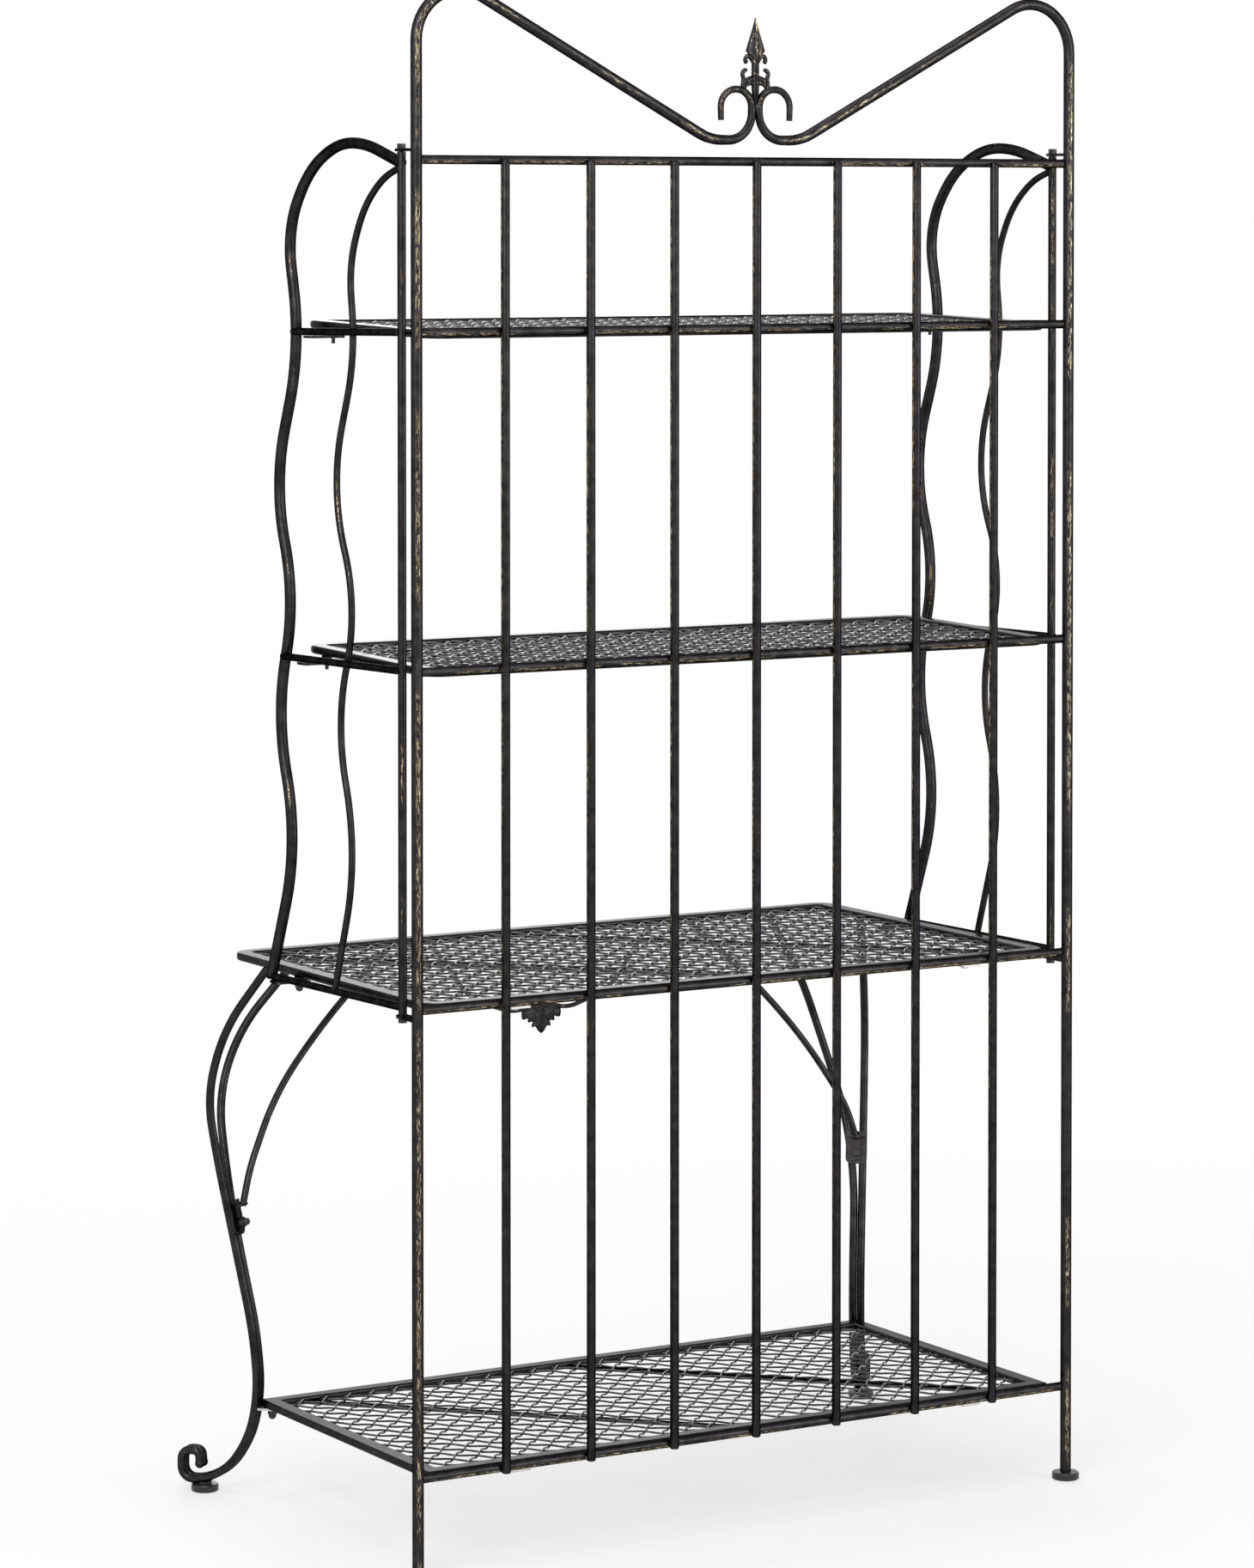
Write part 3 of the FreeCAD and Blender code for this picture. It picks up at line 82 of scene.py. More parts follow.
SCROLL_END = (70.0, 32.0)     # reach along that plane and height of the end of the foot's scroll

# ---- Camera solved from the photograph, in pixels, degrees and mm -------------------------------
IMAGE_SIZE = (1460.0, 1826.0)
FOCAL = 5899.75
IMAGE_CENTRE = (697.83, 433.46)
CAMERA_TURN = (30.8333, 1.7298, 0.015)        # yaw, pitch and roll
CAMERA_PLACE = (2899.92, 4535.44, 1398.92)
SENSOR = 36.0


def at(x, y, z):
    """A point given in mm from the middle plane, the posts' plane and the floor."""
    return Vector((x * MM, (y + FRONT_SHIFT) * MM, z * MM))


# ---- Mesh building ------------------------------------------------------------------------------

def new_object(name, bm, smooth=True):
    mesh = bpy.data.meshes.new(name)
    bm.to_mesh(mesh)
    bm.free()
    for polygon in mesh.polygons:
        polygon.use_smooth = smooth
    obj = bpy.data.objects.new(name, mesh)
    bpy.context.scene.collection.objects.link(obj)
    return obj


def skin(bm, rings):
    """Closed skin over rings of vertices, capped at both ends."""
    for first, second in zip(rings, rings[1:]):
        for k in range(len(first)):
            after = (k + 1) % len(first)
            bm.faces.new((first[k], first[after], second[after], second[k]))
    bm.faces.new(list(reversed(rings[0])))
    bm.faces.new(rings[-1])


def sweep(bm, points, radii, sides=8, up=Vector((0, 0, 1))):
    """Round tube along points, closed at both ends."""
    rings = []
    count = len(points)
    for index, point in enumerate(points):
        before = points[max(index - 1, 0)]
        after = points[min(index + 1, count - 1)]
        ahead = (after - before).normalized()
        side = ahead.cross(up)
        if side.length < 0.05:
            side = ahead.cross(Vector((0, 1, 0)))
        side.normalize()
        top = side.cross(ahead).normalized()
        radius = radii if isinstance(radii, float) else radii[index]
        ring = []
        for k in range(sides):
            angle = 2 * math.pi * k / sides
            outward = side * math.cos(angle) + top * math.sin(angle)
            ring.append(bm.verts.new(point + outward * radius))
        rings.append(ring)
    skin(bm, rings)


# ---- Node materials -----------------------------------------------------------------------------

class Nodes:
    """Short calls for building a material's node tree."""

    def __init__(self, name):
        self.material = bpy.data.materials.new(name)
        self.material.use_nodes = True
        self.tree = self.material.node_tree
        self.shader = self.tree.nodes["Principled BSDF"]

    def add(self, kind, **settings):
        node = self.tree.nodes.new(kind)
        for key, value in settings.items():
            setattr(node, key, value)
        return node

    def link(self, source, target):
        self.tree.links.new(source, target)

    def stretched(self, scale, source="Object"):
        mapping = self.add("ShaderNodeMapping")
        mapping.inputs["Scale"].default_value = scale
        self.link(self.add("ShaderNodeTexCoord").outputs[source], mapping.inputs["Vector"])
        return mapping.outputs["Vector"]

    def noise(self, scale, detail=3.0, stretch=(1, 1, 1), roughness=0.5, vector=None):
        node = self.add("ShaderNodeTexNoise")
        node.inputs["Scale"].default_value = scale
        node.inputs["Detail"].default_value = detail
        node.inputs["Roughness"].default_value = roughness
        self.link(vector or self.stretched(stretch), node.inputs["Vector"])
        return node.outputs["Fac"]

    def arch_vector(self, along, across):
        """Coordinates that run along the arch's slopes, and how much of a post is arch."""
        parts = self.add("ShaderNodeSeparateXYZ")
        self.link(self.stretched((1, 1, 1)), parts.inputs[0])
        outward = self.math("ABSOLUTE", parts.outputs["X"], 0.0)
        height = parts.outputs["Z"]
        run = self.math("ADD", self.math("MULTIPLY", outward, along * math.cos(ARCH_SLOPE)),
                        self.math("MULTIPLY", height, along * math.sin(ARCH_SLOPE)))
        over = self.math("SUBTRACT", self.math("MULTIPLY", height, across * math.cos(ARCH_SLOPE)),
                         self.math("MULTIPLY", outward, across * math.sin(ARCH_SLOPE)))
        vector = self.add("ShaderNodeCombineXYZ")
        depth = self.math("MULTIPLY", parts.outputs["Y"], across)
        for socket, value in zip(vector.inputs, (run, depth, over)):
            self.link(value, socket)
        return vector.outputs[0], self.ramp(outward, 0.385, 0.400, 1.0, 0.0)

    def blend(self, factor, first, second):
        node = self.add("ShaderNodeMix", data_type="FLOAT")
        for socket, value in zip(node.inputs[:1] + node.inputs[2:4], (factor, first, second)):
            self.link(value, socket)
        return node.outputs[0]

    def ramp(self, source, low, high, dark=0.0, bright=1.0):
        node = self.add("ShaderNodeMapRange")
        node.inputs["From Min"].default_value = low
        node.inputs["From Max"].default_value = high
        node.inputs["To Min"].default_value = dark
        node.inputs["To Max"].default_value = bright
        self.link(source, node.inputs["Value"])
        return node.outputs["Result"]

    def math(self, operation, first, second):
        node = self.add("ShaderNodeMath", operation=operation)
        for socket, value in zip(node.inputs, (first, second)):
            if isinstance(value, (int, float)):
                socket.default_value = value
            else:
                self.link(value, socket)
        return node.outputs[0]

    def mix(self, factor, first, second):
        node = self.add("ShaderNodeMix", data_type="RGBA")
        self.link(factor, node.inputs["Factor"])
        for socket, value in ((node.inputs[6], first), (node.inputs[7], second)):
            if isinstance(value, tuple):
                socket.default_value = value
            else:
                self.link(value, socket)
        return node.outputs[2]

    def facing(self, direction):
        """How squarely the surface looks along a direction or straight away from it."""
        dot = self.add("ShaderNodeVectorMath", operation="DOT_PRODUCT")
        self.link(self.add("ShaderNodeTexCoord").outputs["Normal"], dot.inputs[0])
        dot.inputs[1].default_value = Vector(direction).normalized()
        size = self.add("ShaderNodeMath", operation="ABSOLUTE")
        self.link(dot.outputs["Value"], size.inputs[0])
        return size.outputs[0]

    def paint(self, factor, first, second):
        """Base colour between two colours."""
        self.link(self.mix(factor, first, second), self.shader.inputs["Base Color"])

    def polish(self, source, low, high, smooth, rough):
        """Roughness that follows a source."""
        self.link(self.ramp(source, low, high, smooth, rough), self.shader.inputs["Roughness"])

    def bump(self, height, strength, distance):
        node = self.add("ShaderNodeBump")
        node.inputs["Strength"].default_value = strength
        node.inputs["Distance"].default_value = distance
        self.link(height, node.inputs["Height"])
        self.link(node.outputs["Normal"], self.shader.inputs["Normal"])


BLACK = (0.020, 0.0192, 0.0210, 1.0)
CHARCOAL = (0.038, 0.0365, 0.0395, 1.0)
BROWN = (0.040, 0.032, 0.028, 1.0)
BRONZE = (0.42, 0.31, 0.14, 1.0)
PALE_BRONZE = (0.80, 0.69, 0.44, 1.0)
FRAME_BLACK = (0.016, 0.0155, 0.0165, 1.0)
FRAME_CHARCOAL = (0.030, 0.029, 0.031, 1.0)
FRAME_SCUFF = (0.075, 0.070, 0.064, 1.0)
WIRE_BLACK = (0.022, 0.0215, 0.022, 1.0)
WIRE_GREY = (0.060, 0.059, 0.060, 1.0)
ZINC = (0.42, 0.42, 0.41, 1.0)
PALE_ZINC = (0.64, 0.63, 0.61, 1.0)
NUT_BLACK = (0.010, 0.010, 0.011, 1.0)
NUT_WORN = (0.07, 0.066, 0.062, 1.0)
PLASTIC = (0.008, 0.008, 0.008, 1.0)
PLASTIC_SCUFF = (0.032, 0.031, 0.029, 1.0)


def satin_ground(n, tint=0.22, roughness=(0.28, 0.44)):
    """Colour of the worn satin coat: near black, clouded with charcoal and a little brown."""
    ground = n.mix(n.ramp(n.noise(75.0, 4.0), 0.35, 0.68), BLACK, CHARCOAL)
    brown = n.math("MULTIPLY", n.ramp(n.noise(30.0, 3.0), 0.5, 0.7), 0.3)
    n.shader.inputs["Metallic"].default_value = 1.0
    n.shader.inputs["Specular Tint"].default_value = (tint, tint, tint, 1.0)
    n.polish(n.noise(140.0, 3.0), 0.3, 0.7, *roughness)
    return n.mix(brown, ground, BROWN)


def bare_metal_and_glint(n):
    """Colour of the steel where the coat is rubbed through, and of the painted highlights on the
    tubes and the ridge.
    """
    return n.mix(n.ramp(n.noise(240.0, 2.0), 0.35, 0.65), BRONZE, PALE_BRONZE)


def enamel(name, stretch, facing, line, amount, patch_scale=9.0, arch=False, coat=()):
    """Satin black over steel, with bronze flecks where the coat is rubbed through, and a painted
    highlight of bronze flecks along the sides that face out.

    The flecks are longest where stretch is smallest. Stray flecks are wear. The banded flecks lie
    along the two sides of a tube that look along the direction facing and away from it, where the
    facing share passes line: a painted highlight where the lamps' reflection falls. The coat is the
    tint and the roughness of the black, where they aren't the usual ones.
    """
    n = Nodes(name)
    flecks = n.noise(1.0, 2.0, stretch, 0.6)
    hairs = n.noise(1.0, 3.0, stretch, 0.7)
    if arch:
        vector, share = n.arch_vector(stretch[2], stretch[0])
        flecks = n.blend(share, flecks, n.noise(1.0, 2.0, roughness=0.6, vector=vector))
        hairs = n.blend(share, hairs, n.noise(1.0, 3.0, roughness=0.7, vector=vector))
    patches = n.ramp(n.noise(patch_scale, 2.0), 0.66 - 0.25 * amount, 0.74 - 0.25 * amount)
    # Painted highlight: bronze flecks kept to a band on the tube sides that face along facing,
    # where the lamps' reflection falls.
    highlight_band = n.ramp(n.facing(facing), *line)
    highlight_flecks = n.math("MULTIPLY", n.ramp(flecks, 0.52, 0.60, 0.0, 0.8), patches)
    highlight_flecks = n.math("MULTIPLY", highlight_flecks, highlight_band)
    stray = n.math("MULTIPLY", n.ramp(hairs, 0.69, 0.75), 0.4 * amount)
    mask = n.math("MAXIMUM", highlight_flecks, stray)
    n.paint(mask, satin_ground(n, *coat), bare_metal_and_glint(n))
    grain = n.math("MULTIPLY", n.noise(420.0, 3.0), 0.4)
    relief = n.math("ADD", n.math("MULTIPLY", flecks, 0.6), grain)
    n.bump(relief, 0.25, 0.0004)
    return n.material


def cast_enamel(name, wear):
    """Satin black on the castings, with a trace of bare metal."""
    n = Nodes(name)
    rubbed = n.ramp(n.noise(260.0, 3.0), 0.60, 0.70)
    n.paint(n.math("MULTIPLY", rubbed, wear), satin_ground(n), bare_metal_and_glint(n))
    n.bump(n.noise(380.0, 4.0), 0.35, 0.0005)
    return n.material


def gloss_enamel():
    """Thick gloss black of the shelf frames, with orange peel and a few dull scuffs."""
    n = Nodes("gloss_enamel")
    scuffs = n.ramp(n.noise(1.0, 4.0, (60.0, 60.0, 300.0), 0.6), 0.58, 0.72)
    coat = n.mix(n.ramp(n.noise(60.0, 3.0), 0.35, 0.7), FRAME_BLACK, FRAME_CHARCOAL)
    n.paint(n.math("MULTIPLY", scuffs, 0.5), coat, FRAME_SCUFF)
    n.shader.inputs["Metallic"].default_value = 1.0
    n.shader.inputs["Specular Tint"].default_value = (0.6, 0.6, 0.6, 1.0)
    n.polish(scuffs, 0.0, 1.0, 0.24, 0.40)
    n.bump(n.noise(260.0, 3.0), 0.3, 0.0004)
    return n.material


def ridge_wear_and_highlight():
    """Edge of the casting where the bronze shows almost bare: rubbed wear, and a painted highlight
    along the ridge.
    """
    n = Nodes("ridge_wear_and_highlight")
    # Pale bronze patches along the ridge: wear, and a painted highlight.
    wear = n.ramp(n.noise(1.0, 3.0, (300.0, 300.0, 160.0), 0.6), 0.34, 0.56)
    n.paint(wear, satin_ground(n), bare_metal_and_glint(n))
    n.bump(n.noise(420.0, 3.0), 0.3, 0.0005)
    return n.material


def wire_enamel():
    """Gloss coat on the woven wires: near black, with bright reflections at grazing angles."""
    n = Nodes("wire_enamel")
    n.paint(n.ramp(n.noise(120.0, 3.0), 0.35, 0.7), WIRE_BLACK, WIRE_GREY)
    n.shader.inputs["Metallic"].default_value = 1.0
    n.polish(n.noise(300.0, 2.0), 0.3, 0.7, 0.16, 0.28)
    n.bump(n.noise(500.0, 3.0), 0.2, 0.0003)
    return n.material


def plated_steel():
    """Zinc-plated fixings with fine scratches."""
    n = Nodes("plated_steel")
    scratches = n.noise(1.0, 3.0, (900.0, 120.0, 900.0))
    n.paint(scratches, ZINC, PALE_ZINC)
    n.shader.inputs["Metallic"].default_value = 1.0
    n.polish(scratches, 0.3, 0.7, 0.22, 0.40)
    n.bump(scratches, 0.2, 0.0003)
    return n.material


def black_nut():
    """Blackened steel of nuts and bolts, rubbed on the corners."""
    n = Nodes("black_nut")
    wear = n.ramp(n.noise(400.0, 3.0), 0.60, 0.72)
    n.paint(wear, NUT_BLACK, NUT_WORN)
    n.link(n.ramp(wear, 0.0, 1.0, 0.1, 0.6), n.shader.inputs["Metallic"])
    n.polish(n.noise(700.0, 2.0), 0.3, 0.7, 0.28, 0.42)
    n.bump(n.noise(600.0, 3.0), 0.2, 0.0003)
    return n.material


def foot_plastic():
    """Matte black plastic of the glides, scuffed at the rim."""
    n = Nodes("foot_plastic")
    scuff = n.ramp(n.noise(240.0, 4.0), 0.55, 0.75)
    n.paint(scuff, PLASTIC, PLASTIC_SCUFF)
    n.polish(scuff, 0.0, 1.0, 0.38, 0.62)
    n.bump(n.noise(800.0, 3.0), 0.25, 0.0003)
    return n.material


ALONG, ACROSS = 120.0, 1300.0   # fleck frequencies along and across a tube
UPRIGHT = (ACROSS, ACROSS, ALONG)
LEVEL = (ALONG, ACROSS, ACROSS)
FRONT_BACK = (ACROSS, ALONG, ACROSS)
EVEN = (420.0, 420.0, 420.0)

# The direction and the range after each fleck stretch place a painted highlight: bronze flecks
# along the tube sides where the lamps' reflection falls. The amount sets the wear.
looks = {
    "post": enamel("enamel_post", UPRIGHT, (0.3, 0.95, 0.0), (0.90, 0.985), 0.9, 9.0, True),
    "rod": enamel("enamel_rod", UPRIGHT, (1.0, 0.0, 0.0), (0.93, 0.985), 1.15, 7.0),
    "rail": enamel("enamel_rail", LEVEL, (0.0, 0.86, -0.50), (0.93, 0.985), 0.95, 14.0),
    "side_rail": enamel("enamel_side_rail", FRONT_BACK, (1.0, 0.3, -0.4), (0.95, 0.99), 0.4),
    "panel": enamel("enamel_panel", UPRIGHT, (0.5, 0.86, 0.0), (0.95, 0.99), 0.4),
    "leg": enamel("enamel_leg", EVEN, (-0.5, 0.8, 0.0), (0.95, 0.99), 0.25,
                  coat=(0.45, (0.2, 0.32))),
    "frame": gloss_enamel(),
    "cast": cast_enamel("enamel_cast", 0.35),
    "leaf": cast_enamel("enamel_leaf", 0.12),
    "ridge": ridge_wear_and_highlight(),
    "weld": enamel("enamel_weld", EVEN, (0.0, 1.0, -0.3), (0.6, 0.9), 0.9, 20.0),
    "wire": wire_enamel(),
    "steel": plated_steel(),
    "nut": black_nut(),
    "foot": foot_plastic(),
}


def look_of(node):
    """Material for a CAD node that stays."""
    if node.endswith("_post"):
        return "post"
    if node.startswith("back_rod"):
        return "rod"
    if node.endswith("side_rail"):
        return "side_rail"
    if node.endswith("rail"):
        return "rail"
    if node.endswith(("hinge_tube", "front_tube", "inner_tube")):
        return "panel"
    if node.endswith(("_leg", "leg_brace", "leg_bracket")):
        return "leg"
    if node.endswith("_frame"):
        return "frame"
    if node.endswith("_foot"):
        return "foot"
    if node in ("plain_tabs", "rear_screws"):
        return "steel"
    if node in ("shelf_studs", "cap_nuts", "shelf_bolts", "bracket_fasteners", "hinge_pins"):
        return "nut"
    return "cast"


for node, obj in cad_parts.items():
    obj.data.materials.clear()
    obj.data.materials.append(looks[look_of(node)])


def dress(obj, look, slot, *nodes, body="rack"):
    """Finish a piece: material, body and the CAD nodes that it stands for. The record slot is not
    used.
    """
    obj.data.materials.clear()
    obj.data.materials.append(looks[look])
    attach(obj, body)
    if nodes:
        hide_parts(*nodes)


# ---- Woven meshes -------------------------------------------------------------------------------

def clip_line(origin, along, low, high):
    """Start and end distance of a level line inside a box."""
    start, end = -1e9, 1e9
    for axis in (0, 1):
        if abs(along[axis]) < 1e-9:
            continue
        first = (low[axis] - origin[axis]) / along[axis]
        second = (high[axis] - origin[axis]) / along[axis]
        start = max(start, min(first, second))
        end = min(end, max(first, second))
    return start, end


def woven_mesh(node, rail_height=None):
    """Crimped wires over and under nearly straight ones, both at 45 degrees, across a shelf.

    With a rail height, the mesh is drawn level and then raised at the front about its shelf's back
    edge, like its frame.
    """
    low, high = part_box(node)
    middle = (rail_height - UPPER_MESH_DROP) * MM if rail_height else (low.z + high.z) / 2
    pitch = MESH_PITCH * MM
    low_corner = Vector((low.x - WIRE_REACH, low.y - WIRE_REACH, 0))
    high_corner = Vector((high.x + WIRE_REACH, high.y + WIRE_REACH, 0))
    anchor = Vector((0, high.y - MESH_ANCHOR * MM, middle))
    root = math.sqrt(0.5)
    families = ((Vector((root, -root, 0)), Vector((root, root, 0))),
                (Vector((root, root, 0)), Vector((root, -root, 0))))
    bm = bmesh.new()
    span = int((high - low).length / pitch) + 2
    for family, (across, along) in enumerate(families):
        for index in range(-span, span + 1):
            origin = anchor + across * (index + 0.5) * pitch
            start, end = clip_line(origin, along, low_corner, high_corner)
            if end - start < SHORTEST_WIRE:
                continue
            steps = max(int((end - start) / (pitch / 6)), 2)
            points = []
            for step in range(steps + 1):
                distance = start + (end - start) * step / steps
                phase = math.pi * (distance / pitch - 0.5)
                sign = 1 if (index + family) % 2 else -1
                point = origin + along * distance
                point.z += sign * WIRE_WAVES[family] * MM * math.cos(phase)
                points.append(point)
            sweep(bm, points, WIRE_RADII[family] * MM, 8)
    if rail_height:
        pivot = at(0, RAIL_FRONT, rail_height - UPPER_DROP)
        turn = Matrix.Rotation(-UPPER_TILT, 3, "X")
        bmesh.ops.rotate(bm, verts=bm.verts, cent=pivot, matrix=turn)
    obj = new_object(node.replace("_mesh", "_woven_mesh"), bm)
    dress(obj, "wire", "mesh_enamel", node)


woven_mesh("upper_shelf_mesh", RAIL_HEIGHTS["upper"])
woven_mesh("middle_shelf_mesh", RAIL_HEIGHTS["middle"])
woven_mesh("counter_mesh")
woven_mesh("lower_shelf_mesh")


# ---- Back rods with domed ends, and weld beads --------------------------------------------------

def back_rod(index, x):
    """Rod whose upper end is ground round where it meets the top rail."""
    bottom = RAIL_HEIGHTS["lower"] - ROD_RADIUS
    top = RAIL_HEIGHTS["top"] + ROD_TOP
    points = [at(x, ROD_Y, bottom), at(x, ROD_Y, bottom + ROD_BEVEL)]
    radii = [(ROD_RADIUS - ROD_BEVEL) * MM, ROD_RADIUS * MM]
    for step in range(5):
        angle = step * math.pi / 10
        points.append(at(x, ROD_Y, top - ROD_RADIUS * (1 - math.sin(angle))))
        radii.append(max(ROD_RADIUS * math.cos(angle), 0.6) * MM)
    bm = bmesh.new()
    sweep(bm, points, radii, 24, Vector((0, 1, 0)))
    obj = new_object("round_topped_rod_%d" % (index + 1), bm)
    dress(obj, "rod", "black_enamel", "back_rod_%d" % (index + 1))


def bead(bm, start, end, radius, seed):
    """Short lumpy run of weld metal."""
    count = 6
    points = []
    radii = []
    for step in range(count + 1):
        share = step / count
        place = start.lerp(end, share)
        lump = 1.0 + 0.28 * noise.noise(Vector((seed * 3.7, share * 4.0, 0.0)))
        points.append(place)
        swell = 0.35 + 0.65 * math.sin(math.pi * (0.12 + 0.76 * share))
        radii.append(radius * MM * lump * swell)
    sweep(bm, points, radii, 10)


def weld_beads():
    """Beads where the rods and posts cross the rails."""
    bm = bmesh.new()
    seed = 0
    for height in RAIL_HEIGHTS.values():
        for x in ROD_X:
            for side in (-1, 1):
                seed += 1
                edge = x + side * (ROD_RADIUS - 0.6)
                bead(bm, at(edge, -0.6, height - 3.4), at(edge, -0.6, height + 2.2), ROD_BEAD, seed)
        for side in (-1, 1):
            seed += 1
            edge = side * (POST_X - POST_EDGE)
            bead(bm, at(edge, -2.0, height - 4.4), at(edge, -2.0, height + 4.4), POST_BEAD, seed)
            lip_end = at(edge + side * 3.0, -5.0, height + 4.4)
            bead(bm, at(edge, -2.6, height + 4.2), lip_end, LIP_BEAD, seed + 0.5)
    obj = new_object("weld_beads", bm)
    dress(obj, "weld", "black_enamel")


for rod_index, rod_x in enumerate(ROD_X):
    back_rod(rod_index, rod_x)
weld_beads()


# ---- Finial -------------------------------------------------------------------------------------

def smooth_path(points, per_run=6):
    """Catmull-Rom curve through tuples of numbers."""
    ends = [points[0]] + list(points) + [points[-1]]
    result = []
    for index in range(1, len(ends) - 2):
        a, b, c, d = ends[index - 1:index + 3]
        for step in range(per_run):
            t = step / per_run
            result.append(tuple(
                0.5 * (2 * q + (r - p) * t + (2 * p - 5 * q + 4 * r - s) * t * t
                       + (3 * q - p - 3 * r + s) * t ** 3)
                for p, q, r, s in zip(a, b, c, d)))
    result.append(tuple(points[-1]))
    return result


def finial_point(x, y, drop):
    return at(x, y, FINIAL_TIP - drop)


def finial_blade(bm):
    """Arrowhead with sharp edges and hollow facets; each level is drop, half width and depth."""
    levels = [(0.0, 0.35, 0.6), (5.0, 1.6, 1.6), (14.0, 4.5, 2.5), (25.0, 8.3, 3.1),
              (33.5, 11.3, 3.4), (35.5, 12.0, 3.4), (37.5, 10.6, 3.4), (39.5, 7.6, 3.4),
              (42.0, 4.6, 3.3), (46.0, 3.4, 3.2)]
    rings = []
    front = [(1.0, 0.12), (0.78, 0.34), (0.45, 0.36), (0.17, 0.55), (0.0, 1.0)]
    for drop, half, depth in levels:
        ring = [(half * w, depth * d) for w, d in front]
        ring += [(-w, d) for w, d in reversed(ring[:-1])]
        ring += [(w, -d) for w, d in reversed(ring)]
        rings.append([bm.verts.new(finial_point(x, y, drop)) for x, y in ring])
    skin(bm, rings)


def finial_arm(bm, steps):
    """Curved arm on both sides; each step is x, drop and radius."""
    path = smooth_path(steps)
    for side in (1, -1):
        points = [finial_point(side * x, 0, drop) for x, drop, radius in path]
        sweep(bm, points, [radius * MM for x, drop, radius in path], 12, Vector((0, 1, 0)))


def make_finial():
    blade = bmesh.new()
    finial_blade(blade)
    bmesh.ops.recalc_face_normals(blade, faces=blade.faces)
    head = new_object("finial_head", blade, smooth=False)
    dress(head, "cast", "black_enamel", "finial")
    bm = bmesh.new()
    stem = smooth_path([(0.0, 38.0, 3.0), (0.0, 48.0, 4.0), (0.0, 60.0, 4.2), (0.0, 74.0, 4.2),
                        (0.0, 88.0, 3.2), (0.0, 99.0, 2.2)])
    sweep(bm, [finial_point(x, 0, drop) for x, drop, radius in stem],
          [radius * MM for x, drop, radius in stem], 14, Vector((0, 1, 0)))
    seam = [(3.2, 44.0, 0.8), (4.4, 52.0, 1.2), (4.4, 76.0, 1.2), (3.0, 92.0, 0.7)]
    sweep(bm, [finial_point(0, y, drop) for y, drop, radius in seam],
          [radius * MM for y, drop, radius in seam], 8, Vector((0, 1, 0)))
    finial_arm(bm, [(1.0, 50.0, 2.4), (4.2, 44.6, 2.6), (7.6, 41.4, 2.5), (11.0, 41.6, 2.4),
                    (12.6, 44.6, 2.3), (11.6, 47.6, 2.5), (10.8, 48.6, 1.4)])
    finial_arm(bm, [(11.6, 57.4, 1.6), (12.4, 56.2, 2.5), (14.6, 57.0, 2.4), (16.2, 60.2, 2.3),
                    (15.0, 64.6, 2.4), (15.2, 69.0, 2.5), (15.6, 73.5, 2.5), (13.0, 79.5, 2.6),
                    (8.4, 87.0, 2.5), (3.6, 94.0, 2.2), (0.8, 99.0, 1.6)])
    finial_arm(bm, [(2.0, 64.8, 3.0), (6.5, 65.6, 3.4), (10.5, 67.4, 3.2), (14.0, 69.4, 2.4)])
    finial_arm(bm, [(3.0, 69.5, 2.8), (7.5, 69.8, 2.6), (11.5, 71.8, 2.2), (13.6, 75.6, 1.6)])
    body = new_object("finial_scrollwork", bm)
    dress(body, "cast", "black_enamel", "finial")
    # A thin raised rib of pale rubbed bronze down both faces of the blade: wear, and a painted
    # highlight along its ridge.
    rib = bmesh.new()
    line = [(0.8, 2.0), (1.8, 6.0), (2.7, 14.0), (3.3, 25.0), (3.6, 33.5), (3.6, 41.0)]
    for side in (1, -1):
        points = [finial_point(0, side * depth, drop) for depth, drop in line]
        sweep(rib, points, 0.55 * MM, 8, Vector((1, 0, 0)))
    dress(new_object("finial_rib", rib), "ridge", "black_enamel")


make_finial()


# ---- Apron leaf ---------------------------------------------------------------------------------

LEAF_EDGE = [
    (0.0, 0.0), (3.8, 2.9), (6.6, 7.0), (8.6, 8.6), (11.6, 7.6), (12.6, 10.0), (10.8, 12.4),
    (12.8, 14.4), (16.7, 13.6), (17.8, 16.0), (17.2, 18.8), (20.6, 17.8), (24.9, 17.9),
    (26.0, 23.4), (25.2, 28.0), (22.6, 30.6), (17.6, 33.8), (9.6, 37.0), (0.0, 38.0),
]
LEAF_MIDDLE = 24.0            # height above its tip that the leaf's rings shrink to
LEAF_RIM = 0.25               # half the thickness of its edge
LEAF_RINGS = 9
LEAF_VEINS = [(0.0, 0.0), (10.8, 8.6), (16.4, 14.6), (24.6, 19.6), (23.0, 28.6)]


def leaf_relief(x, z):
    """Height of the leaf's face: domed, with raised veins that fan out from the top."""
    rise = 2.2 - 0.0016 * (x * x + (z - 22.0) ** 2)
    for tip_x, tip_z in LEAF_VEINS:
        across = Vector((abs(x), z - 34.0))
        run = Vector((tip_x, tip_z - 34.0))
        share = max(0.0, min(1.0, across.dot(run) / run.dot(run)))
        off = (across - run * share).length
        rise += 0.9 * (1.0 - 0.6 * share) * math.exp(-(off / 0.8) ** 2)
    return rise


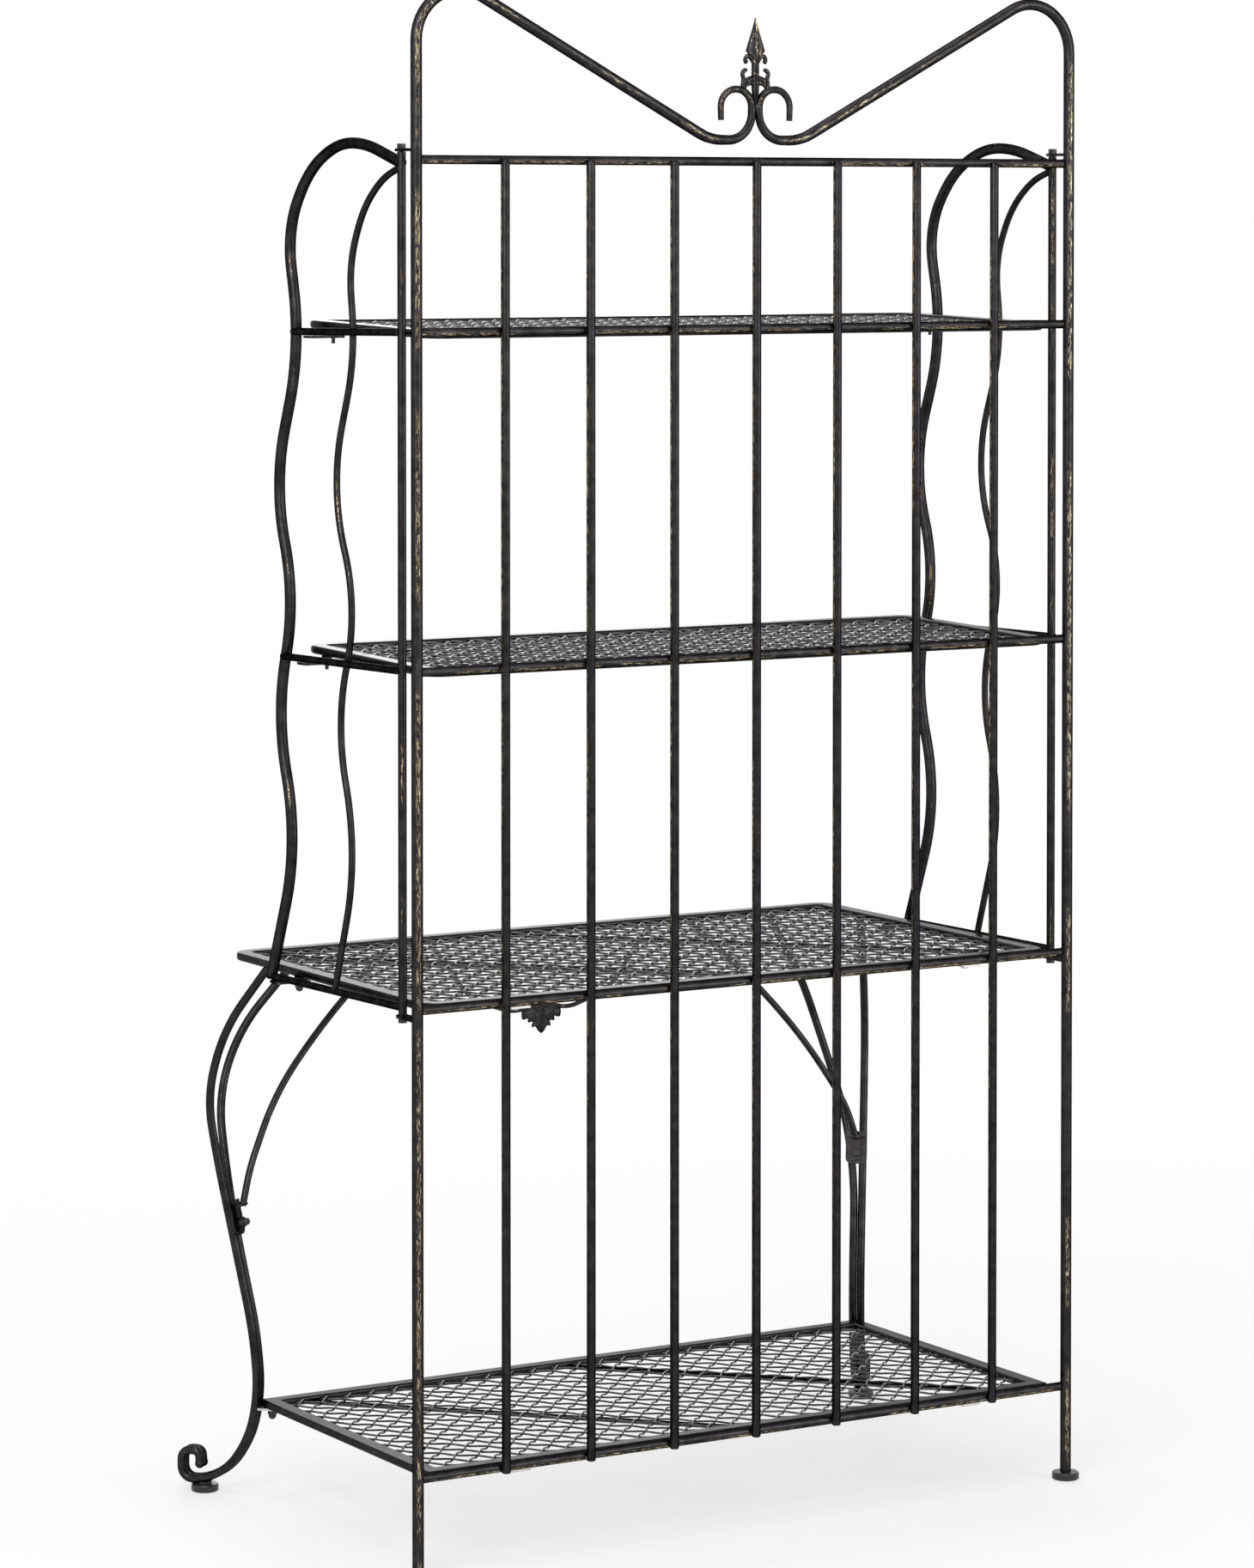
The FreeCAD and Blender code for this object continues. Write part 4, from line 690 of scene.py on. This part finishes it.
def make_leaf():
    right = smooth_path(LEAF_EDGE, 3)
    outline = right + [(-x, z) for x, z in reversed(right[1:-1])]
    bm = bmesh.new()
    for front in (1, -1):
        grid = []
        for ring in range(1, LEAF_RINGS + 1):
            share = ring / LEAF_RINGS
            row = []
            for x, z in outline:
                px, pz = x * share, LEAF_MIDDLE + (z - LEAF_MIDDLE) * share
                depth = leaf_relief(px, pz) if ring < LEAF_RINGS else LEAF_RIM
                row.append(bm.verts.new(at(px, LEAF_Y + front * depth, LEAF_TIP + pz)))
            grid.append(row)
        crown = LEAF_Y + front * leaf_relief(0.0, LEAF_MIDDLE)
        centre = bm.verts.new(at(0, crown, LEAF_TIP + LEAF_MIDDLE))
        count = len(outline)
        for k in range(count):
            after = (k + 1) % count
            bm.faces.new((centre, grid[0][k], grid[0][after]))
            for inner, outer in zip(grid, grid[1:]):
                bm.faces.new((inner[k], outer[k], outer[after], inner[after]))
        if front == 1:
            rim = grid[-1]
    for k in range(count):
        after = (k + 1) % count
        bm.faces.new((rim[k], rim[after], grid[-1][after], grid[-1][k]))
    bmesh.ops.recalc_face_normals(bm, faces=bm.faces)
    leaf = new_object("veined_leaf", bm)
    dress(leaf, "leaf", "black_enamel", "apron_leaf")


make_leaf()


# ---- Ends of the foot scrolls -------------------------------------------------------------------

def make_scroll_ends():
    """Rounded knobs that close the tubes' ends inside the scrolls at the front feet."""
    reach, height = SCROLL_END
    bm = bmesh.new()
    for side in (1, -1):
        for across in (0.0, -LEG_PITCH):
            x = LEG_BASE[0] + reach * math.sin(LEG_SPLAY) + across * math.cos(LEG_SPLAY)
            y = LEG_BASE[1] - reach * math.cos(LEG_SPLAY) + across * math.sin(LEG_SPLAY)
            points = []
            radii = []
            for step in range(9):
                angle = math.pi * (step / 8 - 0.5)
                points.append(at(side * x, y, height - 1.5 + KNOB_HEIGHT * math.sin(angle)))
                radii.append((0.4 + KNOB_RADIUS * math.cos(angle)) * MM)
            sweep(bm, points, radii, 16, Vector((0, 1, 0)))
    dress(new_object("scroll_end_knobs", bm), "leg", "black_enamel")


make_scroll_ends()


# ---- Floor, light and camera --------------------------------------------------------------------

def seen_directly(tree):
    """Whether a ray comes from the camera, a reflection or through glass."""
    path = tree.nodes.new("ShaderNodeLightPath")
    seen = path.outputs["Is Camera Ray"]
    for kind in ("Is Glossy Ray", "Is Transmission Ray"):
        either = tree.nodes.new("ShaderNodeMath")
        either.operation = "MAXIMUM"
        tree.links.new(seen, either.inputs[0])
        tree.links.new(path.outputs[kind], either.inputs[1])
        seen = either.outputs[0]
    return seen


def make_floor():
    """Pale level floor that turns to plain white away from the rack for camera and mirror rays."""
    bm = bmesh.new()
    bmesh.ops.create_circle(bm, cap_ends=True, segments=96, radius=40.0)
    floor = new_object("floor", bm, smooth=False)
    n = Nodes("floor_white")
    n.shader.inputs["Base Color"].default_value = (0.86, 0.86, 0.855, 1.0)
    n.shader.inputs["Roughness"].default_value = 0.7
    n.shader.inputs["Specular IOR Level"].default_value = 0.2
    glow = n.add("ShaderNodeEmission")
    glow.inputs["Strength"].default_value = 1.0
    length = n.add("ShaderNodeVectorMath", operation="LENGTH")
    n.link(n.stretched((1, 1, 1)), length.inputs[0])
    fade = n.ramp(length.outputs["Value"], 0.5, 2.2, 0.55, 1.0)
    blend = n.add("ShaderNodeMixShader")
    n.link(n.math("MULTIPLY", seen_directly(n.tree), fade), blend.inputs[0])
    n.link(n.shader.outputs[0], blend.inputs[1])
    n.link(glow.outputs[0], blend.inputs[2])
    n.link(blend.outputs[0], n.tree.nodes["Material Output"].inputs["Surface"])
    floor.data.materials.append(n.material)


def make_world():
    world = bpy.data.worlds.new("studio")
    bpy.context.scene.world = world
    world.use_nodes = True
    tree = world.node_tree
    ambient = tree.nodes["Background"]
    ambient.inputs["Color"].default_value = (1.0, 1.0, 1.0, 1.0)
    ambient.inputs["Strength"].default_value = 0.45
    backdrop = tree.nodes.new("ShaderNodeBackground")
    backdrop.inputs["Color"].default_value = (1.0, 1.0, 1.0, 1.0)
    backdrop.inputs["Strength"].default_value = 1.0
    blend = tree.nodes.new("ShaderNodeMixShader")
    tree.links.new(seen_directly(tree), blend.inputs[0])
    tree.links.new(ambient.outputs[0], blend.inputs[1])
    tree.links.new(backdrop.outputs[0], blend.inputs[2])
    tree.links.new(blend.outputs[0], tree.nodes["World Output"].inputs["Surface"])


def area_light(name, place, target, size, power):
    data = bpy.data.lights.new(name, "AREA")
    data.shape = "RECTANGLE"
    data.size, data.size_y = size
    data.energy = power
    light = bpy.data.objects.new(name, data)
    light.location = place
    light.rotation_euler = (Vector(target) - Vector(place)).to_track_quat("-Z", "Y").to_euler()
    bpy.context.scene.collection.objects.link(light)


def make_lights():
    middle = (0.0, 0.0, 0.8)
    area_light("key", (3.2, 2.6, 3.0), middle, (2.0, 2.6), 110.0)
    area_light("fill", (-2.2, 3.8, 1.6), middle, (1.6, 2.6), 60.0)
    area_light("front", (-1.5, -4.0, 2.6), middle, (2.4, 2.4), 60.0)
    area_light("top", (0.4, 0.2, 4.2), middle, (2.4, 2.4), 50.0)


def make_camera():
    width, height = IMAGE_SIZE
    yaw, pitch, roll = (math.radians(angle) for angle in CAMERA_TURN)
    data = bpy.data.cameras.new("camera")
    data.sensor_width = SENSOR
    data.lens = FOCAL * data.sensor_width / height
    data.shift_x = (width / 2 - IMAGE_CENTRE[0]) / height
    data.shift_y = (IMAGE_CENTRE[1] - height / 2) / height
    data.clip_start = 0.1
    data.clip_end = 200.0
    camera = bpy.data.objects.new("camera", data)
    level = math.cos(pitch)
    ahead = Vector((-math.sin(yaw) * level, -math.cos(yaw) * level, -math.sin(pitch)))
    right = Vector((-math.cos(yaw), math.sin(yaw), 0))
    right = Matrix.Rotation(roll, 3, ahead) @ right
    upward = right.cross(ahead)
    turn = Matrix((right, upward, -ahead)).transposed()
    camera.matrix_world = Matrix.Translation(at(*CAMERA_PLACE)) @ turn.to_4x4()
    bpy.context.scene.collection.objects.link(camera)
    bpy.context.scene.camera = camera


make_floor()
make_world()
make_lights()
make_camera()
bpy.context.scene.view_settings.view_transform = "Standard"
